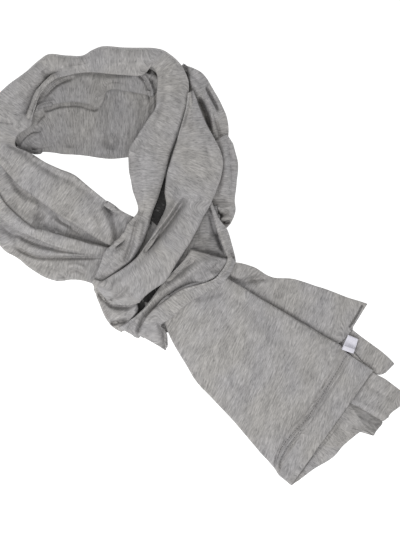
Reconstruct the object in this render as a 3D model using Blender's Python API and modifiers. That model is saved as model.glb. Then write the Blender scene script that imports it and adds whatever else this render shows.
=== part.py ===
"""A heather grey jersey scarf, doubled, tied with a pull-through knot and laid flat.

Every stretch of cloth that shows is a wall of its own, lofted between its two edges from a short
table of sections. The stretches are laid one after another, from the lowest to the highest, and
each is lifted clear of the pile that already lies under it. Folds are ridges and troughs added
along curves in the laying plan. Hidden layers are one rounded solid, stepped at its edges.

The laying plan is a grid of PLAN squares, counted to the right and down, as seen from above.
Heights, rolls and fold sizes in the tables are millimetres. The part's origin is the middle of
its underside, +Z is up, and the tails run towards +X and -Y.
"""

import math
from collections import namedtuple

import bmesh
import bpy
import numpy as np
from mathutils import Matrix
from mathutils.bvhtree import BVHTree

# Driving dimensions, in metres
PLAN = 0.0012
MM = 0.001
WALL = 0.0018
CLEAR = 0.0006
SEAM_GAP = 0.0008
SEAT_GAP = 0.0006
SEAT_STEP = 0.002
TUCK = 0.004
PLAN_MIDDLE_X = 190.35
PLAN_MIDDLE_Y = 266.4

# The height map of the pile, in plan squares
PILE_LEFT = -60
PILE_TOP = 20
PILE_WIDE = 500
PILE_HIGH = 500
PILE_CELL = 2

# Angles round a rolled edge, from underneath to the top
RIM_ANGLES = (-90, -25, 35)
FOLD_SAMPLES = 16
FOLD_TAPER = 0.18
LAYER_SETBACK = 0.004
LAYER_BULGE = 0.0012
# Shares of the width and of the height, over the top of the hidden layers
LAYER_CROWN = ((0.35, 1.0), (0.5, 1.03), (0.65, 1.0))

Section = namedtuple("Section", "left_x left_y right_x right_y left_z right_z crown roll")
Fold = namedtuple("Fold", "x0 y0 x1 y1 x2 y2 height left_width right_width")
Layer = namedtuple("Layer", "inner_x inner_y outer_x outer_y height")

HEATHER = (0.36, 0.355, 0.35)
SHADED = (0.31, 0.305, 0.30)
LABEL_WHITE = (0.78, 0.77, 0.84)
ROUGH = 0.92

# Rows of Layer: the hidden layers round the neck opening and under the knot
RING_LAYERS = (
    (100, 143, 100, 64, 18),
    (127, 144, 160, 70, 19),
    (134, 153, 203, 103, 20),
    (133, 170, 218, 160, 22),
    (136, 188, 217, 205, 24),
    (141, 206, 214, 248, 24),
    (144, 219, 212, 292, 25),
    (138, 224, 172, 312, 24),
    (125, 219, 122, 308, 16),
    (107, 208, 94, 266, 11),
    (88, 194, 56, 262, 12),
    (66, 181, 16, 236, 13),
    (45, 171, -5, 200, 14),
    (30, 160, -7, 158, 14),
    (38, 146, 0, 116, 16),
    (64, 143, 44, 80, 18),
)
# Rows of Layer: the hidden layers inside the two tails
TAIL_LAYERS = (
    (179.8, 313.5, 217.8, 290.3, 18),
    (205, 362, 252, 314, 15),
    (226, 388, 280, 328, 12),
    (248, 412, 306, 342, 9.4),
    (268, 434, 328, 356, 7.4),
)

# Rows of Section, from the knot to the end of each piece of tail
TAIL_UNDER = (
    (316, 310, 306, 340, 1.8, 1.8, 0, 0),
    (338, 318, 330, 352, 1.8, 1.8, 0.6, 0),
    (356, 332, 350, 366, 1.8, 1.8, 1, 0),
    (374, 345.5, 366, 372, 1.8, 1.8, 1, 0),
    (388, 356, 380, 375, 1.8, 1.8, 0.5, 0),
    (395.5, 364, 386, 373, 1.8, 1.8, 0, 0),
)
TAIL_LOWER = (
    (366, 380, 330, 360, 1.8, 1.8, 0, 0),
    (380, 404, 326, 380, 1.8, 1.8, 0.8, 0),
    (382, 424, 316, 400, 1.8, 1.8, 1.2, 0),
    (373, 436, 304, 416, 1.8, 1.8, 1.2, 0),
    (361, 434, 292, 432, 1.8, 1.8, 1, 0),
    (344, 447, 282, 444, 1.8, 1.8, 1, 0),
    (333, 458.5, 278, 452, 1.8, 1.8, 0.8, 0),
    (313, 471, 277, 462, 1.8, 1.8, 0.4, 0),
    (293, 486, 279, 474, 1.8, 1.8, 0, 0),
)
HEM_FLAP = (
    (352, 350, 334, 372, 4, 4, 0, 0),
    (372, 371, 345, 398, 4, 4, 0.6, 0),
    (388, 381, 364, 409, 3, 4, 1, 0),
    (402, 391, 384, 421, 2.6, 3.4, 1, 0),
    (409, 398, 399, 412, 2.6, 2.6, 0, 0),
)
TAIL_BACK = (
    (222, 266, 214, 290, 24, 24, 2, 3),
    (236, 263, 230, 296, 17, 19, 3, 3.2),
    (255, 267, 247, 308, 12, 14, 3, 3),
    (272, 277, 262, 318, 9, 10, 2, 2.6),
    (294, 279, 284, 330, 8, 8, 1.2, 2.4),
    (320, 287, 308, 342, 7, 7, 1, 2.2),
    (344, 296, 328, 350, 7, 6.5, 0.8, 2),
    (368, 303.5, 350, 334, 6, 6, 0.4, 2),
)
TAIL_FRONT = (
    (164, 308, 206, 270, 34, 34, 1, 3.6),
    (166, 326, 222, 276, 22, 30, 5, 4.4),
    (174, 345, 236, 284, 14, 23, 7, 4.4),
    (191, 374, 257, 296, 11, 18, 5, 4),
    (211, 397, 279, 309, 9.5, 14, 3.5, 3.4),
    (234, 422, 302, 323, 8.5, 12, 2.5, 3),
    (258, 451, 326, 337, 8, 11, 1.8, 2.6),
    (274, 468, 341, 345, 7.5, 10, 1.2, 2.4),
    (279, 475, 348, 353, 7.5, 10, 1, 2.2),
    (285, 480, 361, 362, 7, 9, 0.8, 2),
    (291.5, 485.5, 374, 370.5, 6.5, 8, 0.6, 2),
)

# Rows of Section for the stretches behind and beside the knot, from the top down
BUNCH_BACK = (
    (174, 72, 183, 64.5, 33, 30, 2, 4),
    (180, 92, 200.5, 72, 34, 26, 4, 5),
    (190, 112, 211, 86, 33, 23, 5, 5.5),
    (198, 130, 220, 101, 32, 21, 5, 5.5),
    (206, 145, 226, 115, 31, 20, 4, 5),
    (212, 156, 228.5, 130, 30, 18, 3, 4),
    (216, 168, 228, 146, 28, 16, 1, 4),
)
BUNCH_SIDE = (
    (208, 146, 227, 134, 31, 22, 2, 4),
    (206, 156, 234, 146, 32, 20, 4, 5),
    (204, 168, 238.5, 164, 32, 19, 5, 5.5),
    (202, 183, 237, 183, 32, 19, 5, 5.5),
    (199, 200, 235, 200, 32, 20, 4, 5.5),
    (198, 214, 235.5, 212, 32, 20, 4, 5),
    (199, 226, 231, 224, 31, 18, 2, 4),
    (202, 236, 224, 231, 29, 18, 0, 4),
)
RECESS_WRAP = (
    (190, 208, 216, 206, 36, 30, 0, 0),
    (188, 226, 222, 224, 35, 29, -1, 0),
    (186, 244, 226, 244, 35, 28, -1, 0),
    (182, 262, 229, 263, 34, 28, 0, 0),
)
SIDE_STRIP = (
    (206, 200, 214, 198, 38, 34, 1, 2.6),
    (209, 212, 224, 212, 38, 31, 1.5, 3),
    (213, 226, 227, 229, 37, 26, 2, 3.2),
    (219, 241, 231.5, 242, 35, 24, 2, 3.2),
    (225, 256, 235, 256, 32, 22, 2, 3.2),
    (228, 266, 236, 264, 26, 18, 1, 2.8),
)

# Rows of Section round the neck loop, outer edge first
INNER_BACK = (
    (37, 104, 34, 154, 26, 18, 1, 3.2),
    (50, 92, 42, 153, 27, 15, 2, 3.4),
    (72, 84, 60, 154, 27, 12, 3, 3.6),
    (96, 82, 85, 156, 27, 11, 3, 3.8),
    (122, 80, 112, 158.5, 27, 11, 3, 3.8),
    (148, 82, 131, 157, 28, 13, 2, 3.6),
    (166, 94, 142, 156, 28, 20, 0, 3.4),
)
INNER_FOLD = (
    (38, 94, 35, 112, 31, 29, 0.5, 2.6),
    (49, 82, 50, 105, 33, 31, 1, 2.8),
    (64, 72, 64, 103, 34, 32, 1.5, 3),
    (80, 68, 78, 102.5, 34, 32, 2, 3),
    (94, 68, 90, 105.5, 34, 31, 2, 3),
    (106, 69, 100, 109, 34, 30, 1.5, 2.8),
    (117, 70, 112, 101, 34, 31, 1.5, 2.8),
    (130, 70, 126, 96, 35, 32, 1, 2.8),
    (146, 73, 142, 95, 35, 33, 1, 2.6),
    (160, 82, 154, 99, 35, 33, 0, 2.6),
)
BAND_FRONT = (
    (116, 248, 140, 226, 24, 25, 0, 2.4),
    (110, 245, 136, 219, 26, 28, 1, 2.8),
    (95, 237.5, 122, 211, 30, 32, 3, 4),
    (79, 228, 107, 201, 31, 33, 5, 5),
    (63, 218, 92, 189, 31, 33, 6, 5),
    (48, 207, 75, 175, 31, 33, 7, 5),
    (34, 197, 58, 168, 31, 33, 7, 5),
    (22, 188, 44, 162, 31, 33, 6, 5),
    (11, 177, 38.5, 147, 32, 34, 6, 5),
    (0, 165, 36, 134, 33, 36, 6, 5.5),
    (-12, 153, 25, 141, 33, 37, 5, 5.5),
    (-20, 138, 17, 148, 34, 36, 5, 5.5),
)
BAND_BACK = (
    (-19, 120, 24, 139, 35, 37, 6, 6.5),
    (-10, 103, 31, 124, 36, 37, 6, 7),
    (6, 86.5, 35, 109, 38, 38, 7, 7.5),
    (25, 72, 41, 95, 39, 39, 7, 7.5),
    (40, 60, 48, 86, 40, 40, 6, 7),
    (50, 54.5, 57, 79, 41, 41, 5, 6.5),
    (68, 56, 67, 76.5, 42, 41, 5, 6),
    (82, 56, 80, 73.5, 42, 41, 5, 5.5),
    (93, 49.5, 92, 73.2, 42, 41, 6, 6),
    (104, 46, 104, 74.5, 42, 41, 7, 6.5),
    (122, 47.5, 120, 76, 42, 41, 7, 6.5),
    (142, 48, 138, 77, 43, 42, 6, 6.5),
    (155, 48.5, 146, 74, 43, 43, 6, 6),
    (166, 52, 152.5, 68, 44, 44, 5, 5),
    (177, 61, 158, 78, 45, 45, 6, 5.5),
)
BAND_RIGHT = (
    (185, 73, 157, 93, 46, 45, 6, 6.5),
    (189, 88, 156, 108, 46, 44, 7, 7),
    (185.5, 112, 148, 120, 46, 43, 8, 7),
    (178.6, 133, 136, 138, 46, 41, 8, 7),
    (171, 152, 129, 151, 46, 38, 8, 6.5),
    (166, 172, 129, 169, 46, 37, 7, 6),
    (160, 192, 133, 190, 45, 38, 6, 5.5),
    (152, 213, 138.5, 211, 45, 41, 3, 4),
    (149, 228, 128, 224, 48, 46, 3, 3.6),
    (142, 245, 121, 238, 49, 47, 3, 3.6),
    (132, 261, 106, 251, 48, 45, 3, 3.6),
    (119, 271, 100, 266, 46, 40, 2, 3.6),
    (106, 280, 95, 276, 40, 33, 1, 3.2),
    (99, 287, 92, 283, 33, 26, 0, 2.6),
)
MIDDLE_BAND = (
    (-24, 128, -6, 134, 20, 22, 1, 3),
    (-26, 150, -2, 148, 19, 24, 2, 3.6),
    (-20, 176, 6, 160, 18, 25, 3, 4),
    (-10, 196, 16, 170, 18, 26, 4, 4),
    (0, 215.5, 26, 180, 18, 26, 4, 4),
    (13, 226, 38, 190, 18, 26, 4, 4),
    (27, 236, 52, 200, 18, 26, 4, 4),
    (43, 244, 68, 210, 18, 26, 4, 4),
    (62, 249.5, 84, 221, 18, 25, 4, 3.8),
    (84, 252, 100, 231, 18, 22, 3, 3),
    (104, 254, 115, 241, 17, 20, 1, 2.2),
    (109, 256, 118, 246, 17, 19, 0, 2),
)
LOWER_BAND = (
    (-23, 122, -6, 130, 15, 17, 1, 3.6),
    (-28, 146, -4, 148, 13, 18, 2, 4.6),
    (-28, 176, 2, 166, 12, 18, 3, 5),
    (-18, 212, 10, 186, 12, 18, 3, 5),
    (0, 246, 20, 204, 12, 18, 4, 5),
    (17, 258.5, 34, 220, 12, 18, 4, 5),
    (37, 273, 51, 232, 12, 18, 4, 5),
    (56, 280.5, 68, 240, 12, 18, 4, 5),
    (72, 279, 84, 245, 13, 18, 3, 4.6),
    (84, 280.5, 98, 249, 13, 18, 2, 4),
    (94, 284, 108, 254, 13, 15, 1, 3),
    (101, 289, 112, 259, 13, 15, 0, 2.4),
)

# Rows of Section of the knot, upper left edge first
BIGHT_LEFT = (
    (93, 279, 106, 282, 22, 38, 2, 4),
    (95, 290, 112, 290, 22, 40, 3, 4.5),
    (100, 305, 120, 297, 22, 42, 3, 5),
    (106, 318, 132, 303, 20, 42, 3, 5),
    (113, 327.5, 140, 308, 18, 42, 3, 5),
    (122, 332, 146, 314, 17, 40, 2, 4.5),
)
BIGHT_UPPER = (
    (190, 249, 228, 259, 38, 34, 0, 2.6),
    (186, 256, 225.5, 265, 44, 40, 2, 3),
    (174, 266, 217, 276, 46, 42, 3, 3.4),
    (162, 276, 204, 283, 47, 42, 3, 3.4),
    (150, 287, 184, 289, 47, 42, 3, 3.4),
    (140, 298, 168, 300, 46, 40, 3, 3.4),
    (130, 310, 153, 312, 42, 36, 3, 3.4),
    (122, 322, 146, 326, 34, 28, 3, 4),
    (120, 330, 138, 338, 22, 20, 1, 4),
)
STRAND = (
    (187, 94, 193, 91, 46, 44, 0, 2.6),
    (184, 112, 203, 117, 50, 44, 3, 4.5),
    (178, 134, 214, 138, 52, 44, 6, 6),
    (172, 155, 222, 157, 53, 44, 8, 7),
    (169, 175, 222, 173, 54, 45, 9, 7.5),
    (172, 194, 216, 192, 55, 48, 9, 7.5),
    (167, 209, 208, 208, 56, 52, 8, 7),
    (157, 227, 199, 224, 57, 56, 7, 6.5),
    (145, 246, 189, 243, 58, 58, 6, 6),
    (132, 261, 178, 262, 58, 58, 6, 6),
    (118, 271.5, 166, 281, 56, 57, 6, 6),
    (106, 279.5, 150, 292.5, 52, 55, 6, 6),
    (98, 286, 139, 303, 46, 52, 5, 5.5),
    (103, 296, 132, 312, 43, 49, 3, 4.5),
    (109, 304, 124, 320, 41, 46, 1, 3.5),
)
BIGHT_RIM = (
    (228, 255, 236, 261, 34, 30, 1, 3),
    (225, 265, 230, 274, 40, 34, 2, 3.6),
    (214, 278, 219, 286, 46, 38, 3, 4.4),
    (199, 284, 205, 293.5, 49, 41, 3, 5),
    (182, 289, 187, 303.5, 50, 42, 4, 5.5),
    (166, 300, 171, 318, 48, 40, 4, 6),
    (153, 310, 161, 326, 44, 34, 4, 6),
    (144, 321, 167, 336, 36, 26, 4, 5.5),
    (138, 334, 166, 350, 24, 18, 3, 5),
)
LABEL = (
    (349, 335, 358.5, 339.5, 9.5, 8, 0.2, 0),
    (345.5, 342, 356.5, 346, 9.5, 8, 0.2, 0),
    (342, 349, 354, 353, 9.5, 8, 0.2, 0),
)

# Rows of Fold. A fold runs from its first point by way of its second to its third.
INNER_BACK_FOLDS = (
    (62, 110, 70, 132, 68, 158, -3, 8, 10),
    (112, 92, 114, 124, 106, 160, -5, 10, 9),
    (96, 104, 100, 130, 97, 158, 2, 8, 8),
)
INNER_FOLD_FOLDS = ((88, 78, 108, 87, 156, 92, -2, 6, 6),)
MIDDLE_BAND_FOLDS = ((-30, 170, 32, 228, 92, 244, 3, 12, 5),)
LOWER_BAND_FOLDS = ((2, 232, 46, 262, 96, 256, -3, 6, 8),)
BAND_FOLDS = (
    (46, 68, 40, 84, 28, 104, -3, 7, 7),
    (-24, 120, 0, 122, 20, 126, -2.5, 6, 6),
    (86, 52, 82, 62, 84, 74, -1.5, 9, 9),
    (133.5, 233, 132, 247, 126, 262, -2, 5, 6),
    (146, 156, 152, 176, 148, 204, 1.5, 12, 12),
)
STRAND_FOLDS = (
    (178.6, 210, 166, 224, 150, 244, -4, 4, 5),
    (107, 301, 116, 296, 128, 286, -3, 4, 5),
    (176, 184, 196, 188, 216, 178, 2, 10, 12),
    (200, 120, 200, 150, 206, 182, 1.5, 10, 10),
)
BUNCH_BACK_FOLDS = (
    (181, 62, 186, 72, 188, 92, -5, 4, 5),
    (186, 80, 196, 86, 207, 93, 3, 6, 6),
    (203, 96, 207, 108, 209, 130, -8, 5, 6),
    (204, 86, 211, 98, 218, 112, -3, 4, 4),
)
BUNCH_SIDE_FOLDS = (
    (222, 134, 226, 142, 230, 160, -3, 5, 5),
    (206, 214, 216, 216, 228, 208, -5, 4, 5),
    (218, 224, 224, 222, 232, 216, -3, 3, 4),
)
BIGHT_UPPER_FOLDS = (
    (196, 258, 182, 270, 162, 284, -3, 4, 6),
    (150, 306, 142, 318, 138, 334, -3, 5, 5),
)
BIGHT_RIM_FOLDS = ((150, 318, 158, 332, 156, 350, 2, 8, 8),)
BIGHT_LEFT_FOLDS = ((106, 304, 120, 305, 138, 299, -2.5, 4, 5),)
TAIL_BACK_FOLDS = (
    (226, 277, 238, 282, 270, 276, -4, 4, 6),
    (250, 276, 262, 286, 282, 296, -2, 5, 6),
)
TAIL_FRONT_FOLDS = (
    (196, 296, 208, 296, 222, 292, -3, 7, 8),
    (176, 318, 200, 336, 232, 346, 2, 10, 12),
    (206, 330, 240, 372, 272, 410, -1.5, 12, 14),
    (236, 306, 276, 352, 310, 396, 1.5, 14, 14),
)


def catmull_rom(rows, samples, closed=False):
    """Points of a smooth curve through the rows, samples of them between each two rows."""
    rows = np.array(rows, float)
    count = len(rows)
    spans = count if closed else count - 1
    found = []
    for i in range(spans):
        if closed:
            a, b, c, d = (rows[(i + k) % count] for k in (-1, 0, 1, 2))
        else:
            a, b, c, d = (rows[min(max(i + k, 0), count - 1)] for k in (-1, 0, 1, 2))
        for u in np.arange(samples) / samples:
            cubic = (3 * b - a - 3 * c + d) * u**3 + (2 * a - 5 * b + 4 * c - d) * u**2
            found.append(b + 0.5 * ((c - a) * u + cubic))
    if not closed:
        found.append(rows[-1])
    return np.array(found)


def evenly(rows, count, closed=False):
    """The rows made smooth and read again at even steps along the line midway between the edges."""
    fine = catmull_rom(rows, 12, closed)
    if closed:
        fine = np.vstack([fine, fine[:1]])
    middle = (fine[:, 0:2] + fine[:, 2:4]) / 2
    along = np.concatenate([[0], np.cumsum(np.linalg.norm(np.diff(middle, axis=0), axis=1))])
    at = np.linspace(0, along[-1], count + 1)
    if closed:
        at = at[:-1]
    return np.stack([np.interp(at, along, fine[:, k]) for k in range(fine.shape[1])], axis=1)


def fold_heights(plan_points, folds):
    """How far the folds raise each plan point, in metres."""
    total = np.zeros(len(plan_points))
    for row in folds:
        f = Fold(*row)
        u = np.linspace(0, 1, FOLD_SAMPLES + 1)[:, None]
        ends = (np.array([f.x0, f.y0]), np.array([f.x2, f.y2]))
        bend = 2 * np.array([f.x1, f.y1]) - (ends[0] + ends[1]) / 2
        curve = ends[0] * (1 - u) ** 2 + 2 * bend * u * (1 - u) + ends[1] * u**2
        best = np.full(len(plan_points), np.inf)
        side = np.zeros(len(plan_points))
        place = np.zeros(len(plan_points))
        for i in range(FOLD_SAMPLES):
            step = curve[i + 1] - curve[i]
            away = plan_points - curve[i]
            on = np.clip(away @ step / max(step @ step, 1e-12), 0, 1)
            gap = np.linalg.norm(away - on[:, None] * step, axis=1)
            nearer = gap < best
            best[nearer] = gap[nearer]
            side[nearer] = (step[0] * away[:, 1] - step[1] * away[:, 0])[nearer]
            place[nearer] = ((i + on) / FOLD_SAMPLES)[nearer]
        width = np.where(side > 0, f.right_width, f.left_width) * MM / PLAN
        taper = np.clip(np.minimum(place, 1 - place) / FOLD_TAPER, 0, 1)
        total += f.height * MM * np.exp(-((best / width) ** 2)) * taper * taper * (3 - 2 * taper)
    return total


class Pile:
    """The height of what has been laid so far, over the laying plan."""

    def __init__(self):
        self.top = np.zeros((PILE_HIGH // PILE_CELL, PILE_WIDE // PILE_CELL))
        self.soft = self.top
        self.laid = []

    def cells(self, plan_points):
        column = (plan_points[:, 0] - PILE_LEFT) / PILE_CELL
        line = (plan_points[:, 1] - PILE_TOP) / PILE_CELL
        return line, column

    def height(self, plan_points):
        """The soft height under each plan point, read between the cells."""
        line, column = self.cells(plan_points)
        line = np.clip(line, 0, self.top.shape[0] - 1.001)
        column = np.clip(column, 0, self.top.shape[1] - 1.001)
        i, j = line.astype(int), column.astype(int)
        p, q = line - i, column - j
        upper = self.soft[i, j] * (1 - q) + self.soft[i, j + 1] * q
        lower = self.soft[i + 1, j] * (1 - q) + self.soft[i + 1, j + 1] * q
        return upper * (1 - p) + lower * p

    def add(self, plan, height):
        """Adds a grid of points, rows along and columns across, with their heights."""
        steps = np.linspace(0, 1, 9)
        for p in steps:
            for q in steps:
                grids = (plan[..., 0], plan[..., 1], height)
                mixed = [between(grid, p, q).ravel() for grid in grids]
                line, column = self.cells(np.stack(mixed[:2], axis=1))
                i = np.clip(np.rint(line).astype(int), 0, self.top.shape[0] - 1)
                j = np.clip(np.rint(column).astype(int), 0, self.top.shape[1] - 1)
                np.maximum.at(self.top, (i, j), mixed[2])
        self.soften()

    def soften(self):
        """Widens each height to the cells round it, then blurs by less than that."""
        wide = self.top
        for _ in range(2):
            wide = neighbours(wide, np.max)
        self.soft = neighbours(wide, np.mean)


def neighbours(grid, combine):
    """Each cell combined with the eight cells round it."""
    padded = np.pad(grid, 1, mode="edge")
    high, wide = grid.shape
    around = [padded[i : i + high, j : j + wide] for i in range(3) for j in range(3)]
    return combine(np.stack(around), axis=0)


def material_of(name, colour):
    """A plain matt cloth finish."""
    made = bpy.data.materials.new(name)
    made.use_nodes = True
    shader = made.node_tree.nodes["Principled BSDF"]
    shader.inputs["Base Color"].default_value = (*colour, 1)
    shader.inputs["Roughness"].default_value = ROUGH
    shader.inputs["Metallic"].default_value = 0.0
    made.diffuse_color = (*colour, 1)
    return made


def world(plan, height):
    """Plan points and heights as points of the part's own frame, in metres."""
    x = (plan[..., 0] - PLAN_MIDDLE_X) * PLAN
    y = (PLAN_MIDDLE_Y - plan[..., 1]) * PLAN
    return np.stack([x, y, height], axis=-1)


def new_object(name, points, faces, colour):
    """A mesh object in the scarf's collection, its crown facing up, made of triangles."""
    mesh = bpy.data.meshes.new(name)
    bm = bmesh.new()
    verts = [bm.verts.new(p) for p in points]
    for face in faces:
        bm.faces.new([verts[i] for i in face])
    bmesh.ops.recalc_face_normals(bm, faces=bm.faces[:])
    highest = max(bm.faces, key=lambda f: f.calc_center_median().z)
    if highest.normal.z < 0:
        bmesh.ops.reverse_faces(bm, faces=bm.faces[:])
    bmesh.ops.triangulate(bm, faces=bm.faces[:])
    bm.to_mesh(mesh)
    bm.free()
    mesh.materials.append(material_of(name + "_cloth", colour))
    mesh.shade_smooth()
    made = bpy.data.objects.new(name, mesh)
    bpy.data.collections["scarf"].objects.link(made)
    return made


def grid_faces(rows, columns, closed_rows=False):
    """Quads between neighbouring rows and columns of a grid of points, facing up."""
    faces = []
    for i in range(rows if closed_rows else rows - 1):
        for j in range(columns - 1):
            a, b = i * columns + j, ((i + 1) % rows) * columns + j
            faces.append((a, a + 1, b + 1, b))
    return faces


def stretch(pile, names, sections, folds=(), along=18, across=8, rolled=True, colour=HEATHER):
    """Walls of cloth between two edges, rolled under at both or flat to its edges.

    names holds each wall's name and the share of the run at which it ends.
    """
    rows = Section(*evenly(sections, along).T)
    left = np.stack([rows.left_x, rows.left_y], axis=1)
    right = np.stack([rows.right_x, rows.right_y], axis=1)
    sizes = (rows.left_z, rows.right_z, rows.crown, rows.roll)
    left_z, right_z, crown, roll = (size[:, None] * MM for size in sizes)
    width = np.linalg.norm(right - left, axis=1, keepdims=True) * PLAN
    roll = np.minimum(roll, width * 0.3) if rolled else roll * 0
    inner = np.linspace(0, 1, across + 1)[None, :]
    reach = roll + (width - 2 * roll) * inner
    drop = np.zeros_like(reach)
    raised = np.ones_like(reach)
    if rolled:
        angles = np.radians(np.array(RIM_ANGLES))[None, :]
        rim = roll * (1 - np.cos(angles))
        rim_drop = roll * (1 - np.sin(angles))
        rim_raised = np.repeat((1 + np.sin(angles)) / 2, len(left), axis=0)
        tuck = np.minimum(roll + TUCK, width * 0.45)
        none = np.zeros_like(roll)
        reach = np.hstack([tuck, rim, reach, width - rim[:, ::-1], width - tuck])
        drop = np.hstack([2 * roll, rim_drop, drop, rim_drop[:, ::-1], 2 * roll])
        raised = np.hstack([none, rim_raised, raised, rim_raised[:, ::-1], none])
    t = reach / width
    plan = left[:, None] + (right - left)[:, None] * t[..., None]
    t_top = np.clip(t, roll / width, 1 - roll / width)
    height = left_z + (right_z - left_z) * t_top + crown * (1 - (2 * t_top - 1) ** 2)
    folded = fold_heights(plan.reshape(-1, 2), folds).reshape(height.shape)
    edge = np.minimum(reach, width - reach)
    zone = np.clip(2 - edge / np.maximum(roll + TUCK, 1e-6), 0, 1)
    thick = 1.5 * WALL if rolled else 1.1 * WALL
    under = np.maximum(thick, 2 * roll * zone)
    height = lifted(pile, plan, height + folded, under + CLEAR)
    height = height - drop - folded * (1 - raised)
    points = world(plan, height)
    made = []
    first = 0
    for name, share in names:
        last = round(share * along)
        made.append(wall_of(name, seam_gap(points[first : last + 1], first > 0, last < along), colour))
        first = last
    fall = room_below(made, pile.laid) - SEAT_GAP
    if fall > 0:
        for wall in made:
            wall.data.transform(Matrix.Translation((0, 0, -fall)))
        height = height - fall
    pile.add(plan, height)
    pile.laid += made


def between(grid, p, q):
    """The values of a grid a share p of the way to the next row and q to the next column."""
    near = grid[:-1, :-1] * (1 - q) + grid[:-1, 1:] * q
    far = grid[1:, :-1] * (1 - q) + grid[1:, 1:] * q
    return near * (1 - p) + far * p


def lifted(pile, plan, height, under):
    """The heights raised until each patch between four points clears the pile by under."""
    height = height.copy()
    steps = np.linspace(0, 1, 5)
    for _ in range(2):
        more = np.zeros_like(height)
        for p in steps:
            for q in steps:
                place = np.stack([between(plan[..., k], p, q) for k in (0, 1)], axis=-1)
                ground = pile.height(place.reshape(-1, 2)).reshape(place.shape[:2])
                needed = np.where(ground > 0, ground + between(under, p, q), WALL)
                short = np.maximum(needed - between(height, p, q), 0)
                shares = ((1 - p) * (1 - q), (1 - p) * q, p * (1 - q), p * q)
                whole = sum(w * w for w in shares)
                for w, rows, columns in zip(shares, (0, 0, 1, 1), (0, 1, 0, 1), strict=True):
                    part = more[rows : rows + short.shape[0], columns : columns + short.shape[1]]
                    np.maximum(part, short * w / whole, out=part)
        height += more
    return height


def search_tree(objects):
    """A search tree over the finished shapes of the objects, and their corner points."""
    bpy.context.view_layer.update()
    graph = bpy.context.evaluated_depsgraph_get()
    points, faces = [], []
    for item in objects:
        mesh = item.evaluated_get(graph).to_mesh()
        first = len(points)
        points += [vertex.co.copy() for vertex in mesh.vertices]
        faces += [[first + i for i in face.vertices] for face in mesh.polygons]
    return BVHTree.FromPolygons(points, faces), np.array(points)


def room_below(made, laid):
    """The least height between the new walls and what is laid under them, or the floor."""
    new, points = search_tree(made)
    old, _ = search_tree(laid)
    least = points[:, 2].min() + SEAT_GAP
    low, high = points.min(axis=0), points.max(axis=0)
    for x in np.arange(low[0], high[0], SEAT_STEP):
        for y in np.arange(low[1], high[1], SEAT_STEP):
            under = new.ray_cast((x, y, -1), (0, 0, 1))[0]
            if under is None:
                continue
            top = old.ray_cast(under, (0, 0, -1))[0]
            if top is not None:
                least = min(least, under.z - top.z)
    return least


def lay(pile, name, *rest):
    """A stretch that is one wall."""
    stretch(pile, ((name, 1),), *rest)


def seam_gap(points, at_start, at_end):
    """The grid of points with its cut ends drawn back by half the gap at a seam."""
    points = points.copy()
    for cut, end, inside in ((at_start, 0, 1), (at_end, -1, -2)):
        if cut:
            step = points[inside] - points[end]
            length = np.linalg.norm(step, axis=1, keepdims=True)
            points[end] += step / np.maximum(length, 1e-9) * np.minimum(SEAM_GAP / 2, length / 2)
    return points


def wall_of(name, points, colour):
    """A wall of the cloth's thickness under a grid of points."""
    faces = grid_faces(*points.shape[:2])
    made = new_object(name, points.reshape(-1, 3), faces, colour)
    wall = made.modifiers.new("wall", "SOLIDIFY")
    wall.thickness = WALL
    wall.offset = -1
    wall.use_rim = True
    return made


def side_profile(height, layers):
    """Setback and height down one side of a stack of layers, from the floor up."""
    found = []
    thick = height / layers
    for i in range(layers):
        setback = i * LAYER_SETBACK
        found.append((setback + LAYER_BULGE, i * thick))
        found.append((setback, (i + 0.5) * thick))
    found.append((layers * LAYER_SETBACK, height * 0.97))
    return found


def hidden_layers(pile, name, table, along, layers, closed):
    """One rounded solid with a flat underside and stepped sides, for layers that don't show."""
    plan, height = [], []
    for values in evenly(table, along, closed):
        row = Layer(*values)
        inner = np.array([row.inner_x, row.inner_y])
        outer = np.array([row.outer_x, row.outer_y])
        width = np.linalg.norm(outer - inner) * PLAN
        side = side_profile(row.height * MM, layers)
        reach = [setback for setback, _ in side] + [share * width for share, _ in LAYER_CROWN]
        reach += [width - setback for setback, _ in reversed(side)]
        rise = [z for _, z in side] + [lift * row.height * MM for _, lift in LAYER_CROWN]
        rise += [z for _, z in reversed(side)]
        t = np.array(reach)[:, None] / width
        plan.append(inner * (1 - t) + outer * t)
        height.append(rise)
    plan, height = np.array(plan), np.array(height)
    count, columns = height.shape
    faces = grid_faces(count, columns, closed)
    for i in range(count if closed else count - 1):
        a, b = i * columns, ((i + 1) % count) * columns
        faces.append((a + columns - 1, a, b, b + columns - 1))
    if not closed:
        faces.append(tuple(reversed(range(columns))))
        faces.append(tuple((count - 1) * columns + j for j in range(columns)))
    pile.laid.append(new_object(name, world(plan, height).reshape(-1, 3), faces, SHADED))
    if closed:
        plan = np.concatenate([plan, plan[:1]])
        height = np.concatenate([height, height[:1]])
    pile.add(plan, height)


def clear_scene():
    for item in list(bpy.data.objects):
        bpy.data.objects.remove(item, do_unlink=True)
    scarf = bpy.data.collections.new("scarf")
    bpy.context.scene.collection.children.link(scarf)


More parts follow.
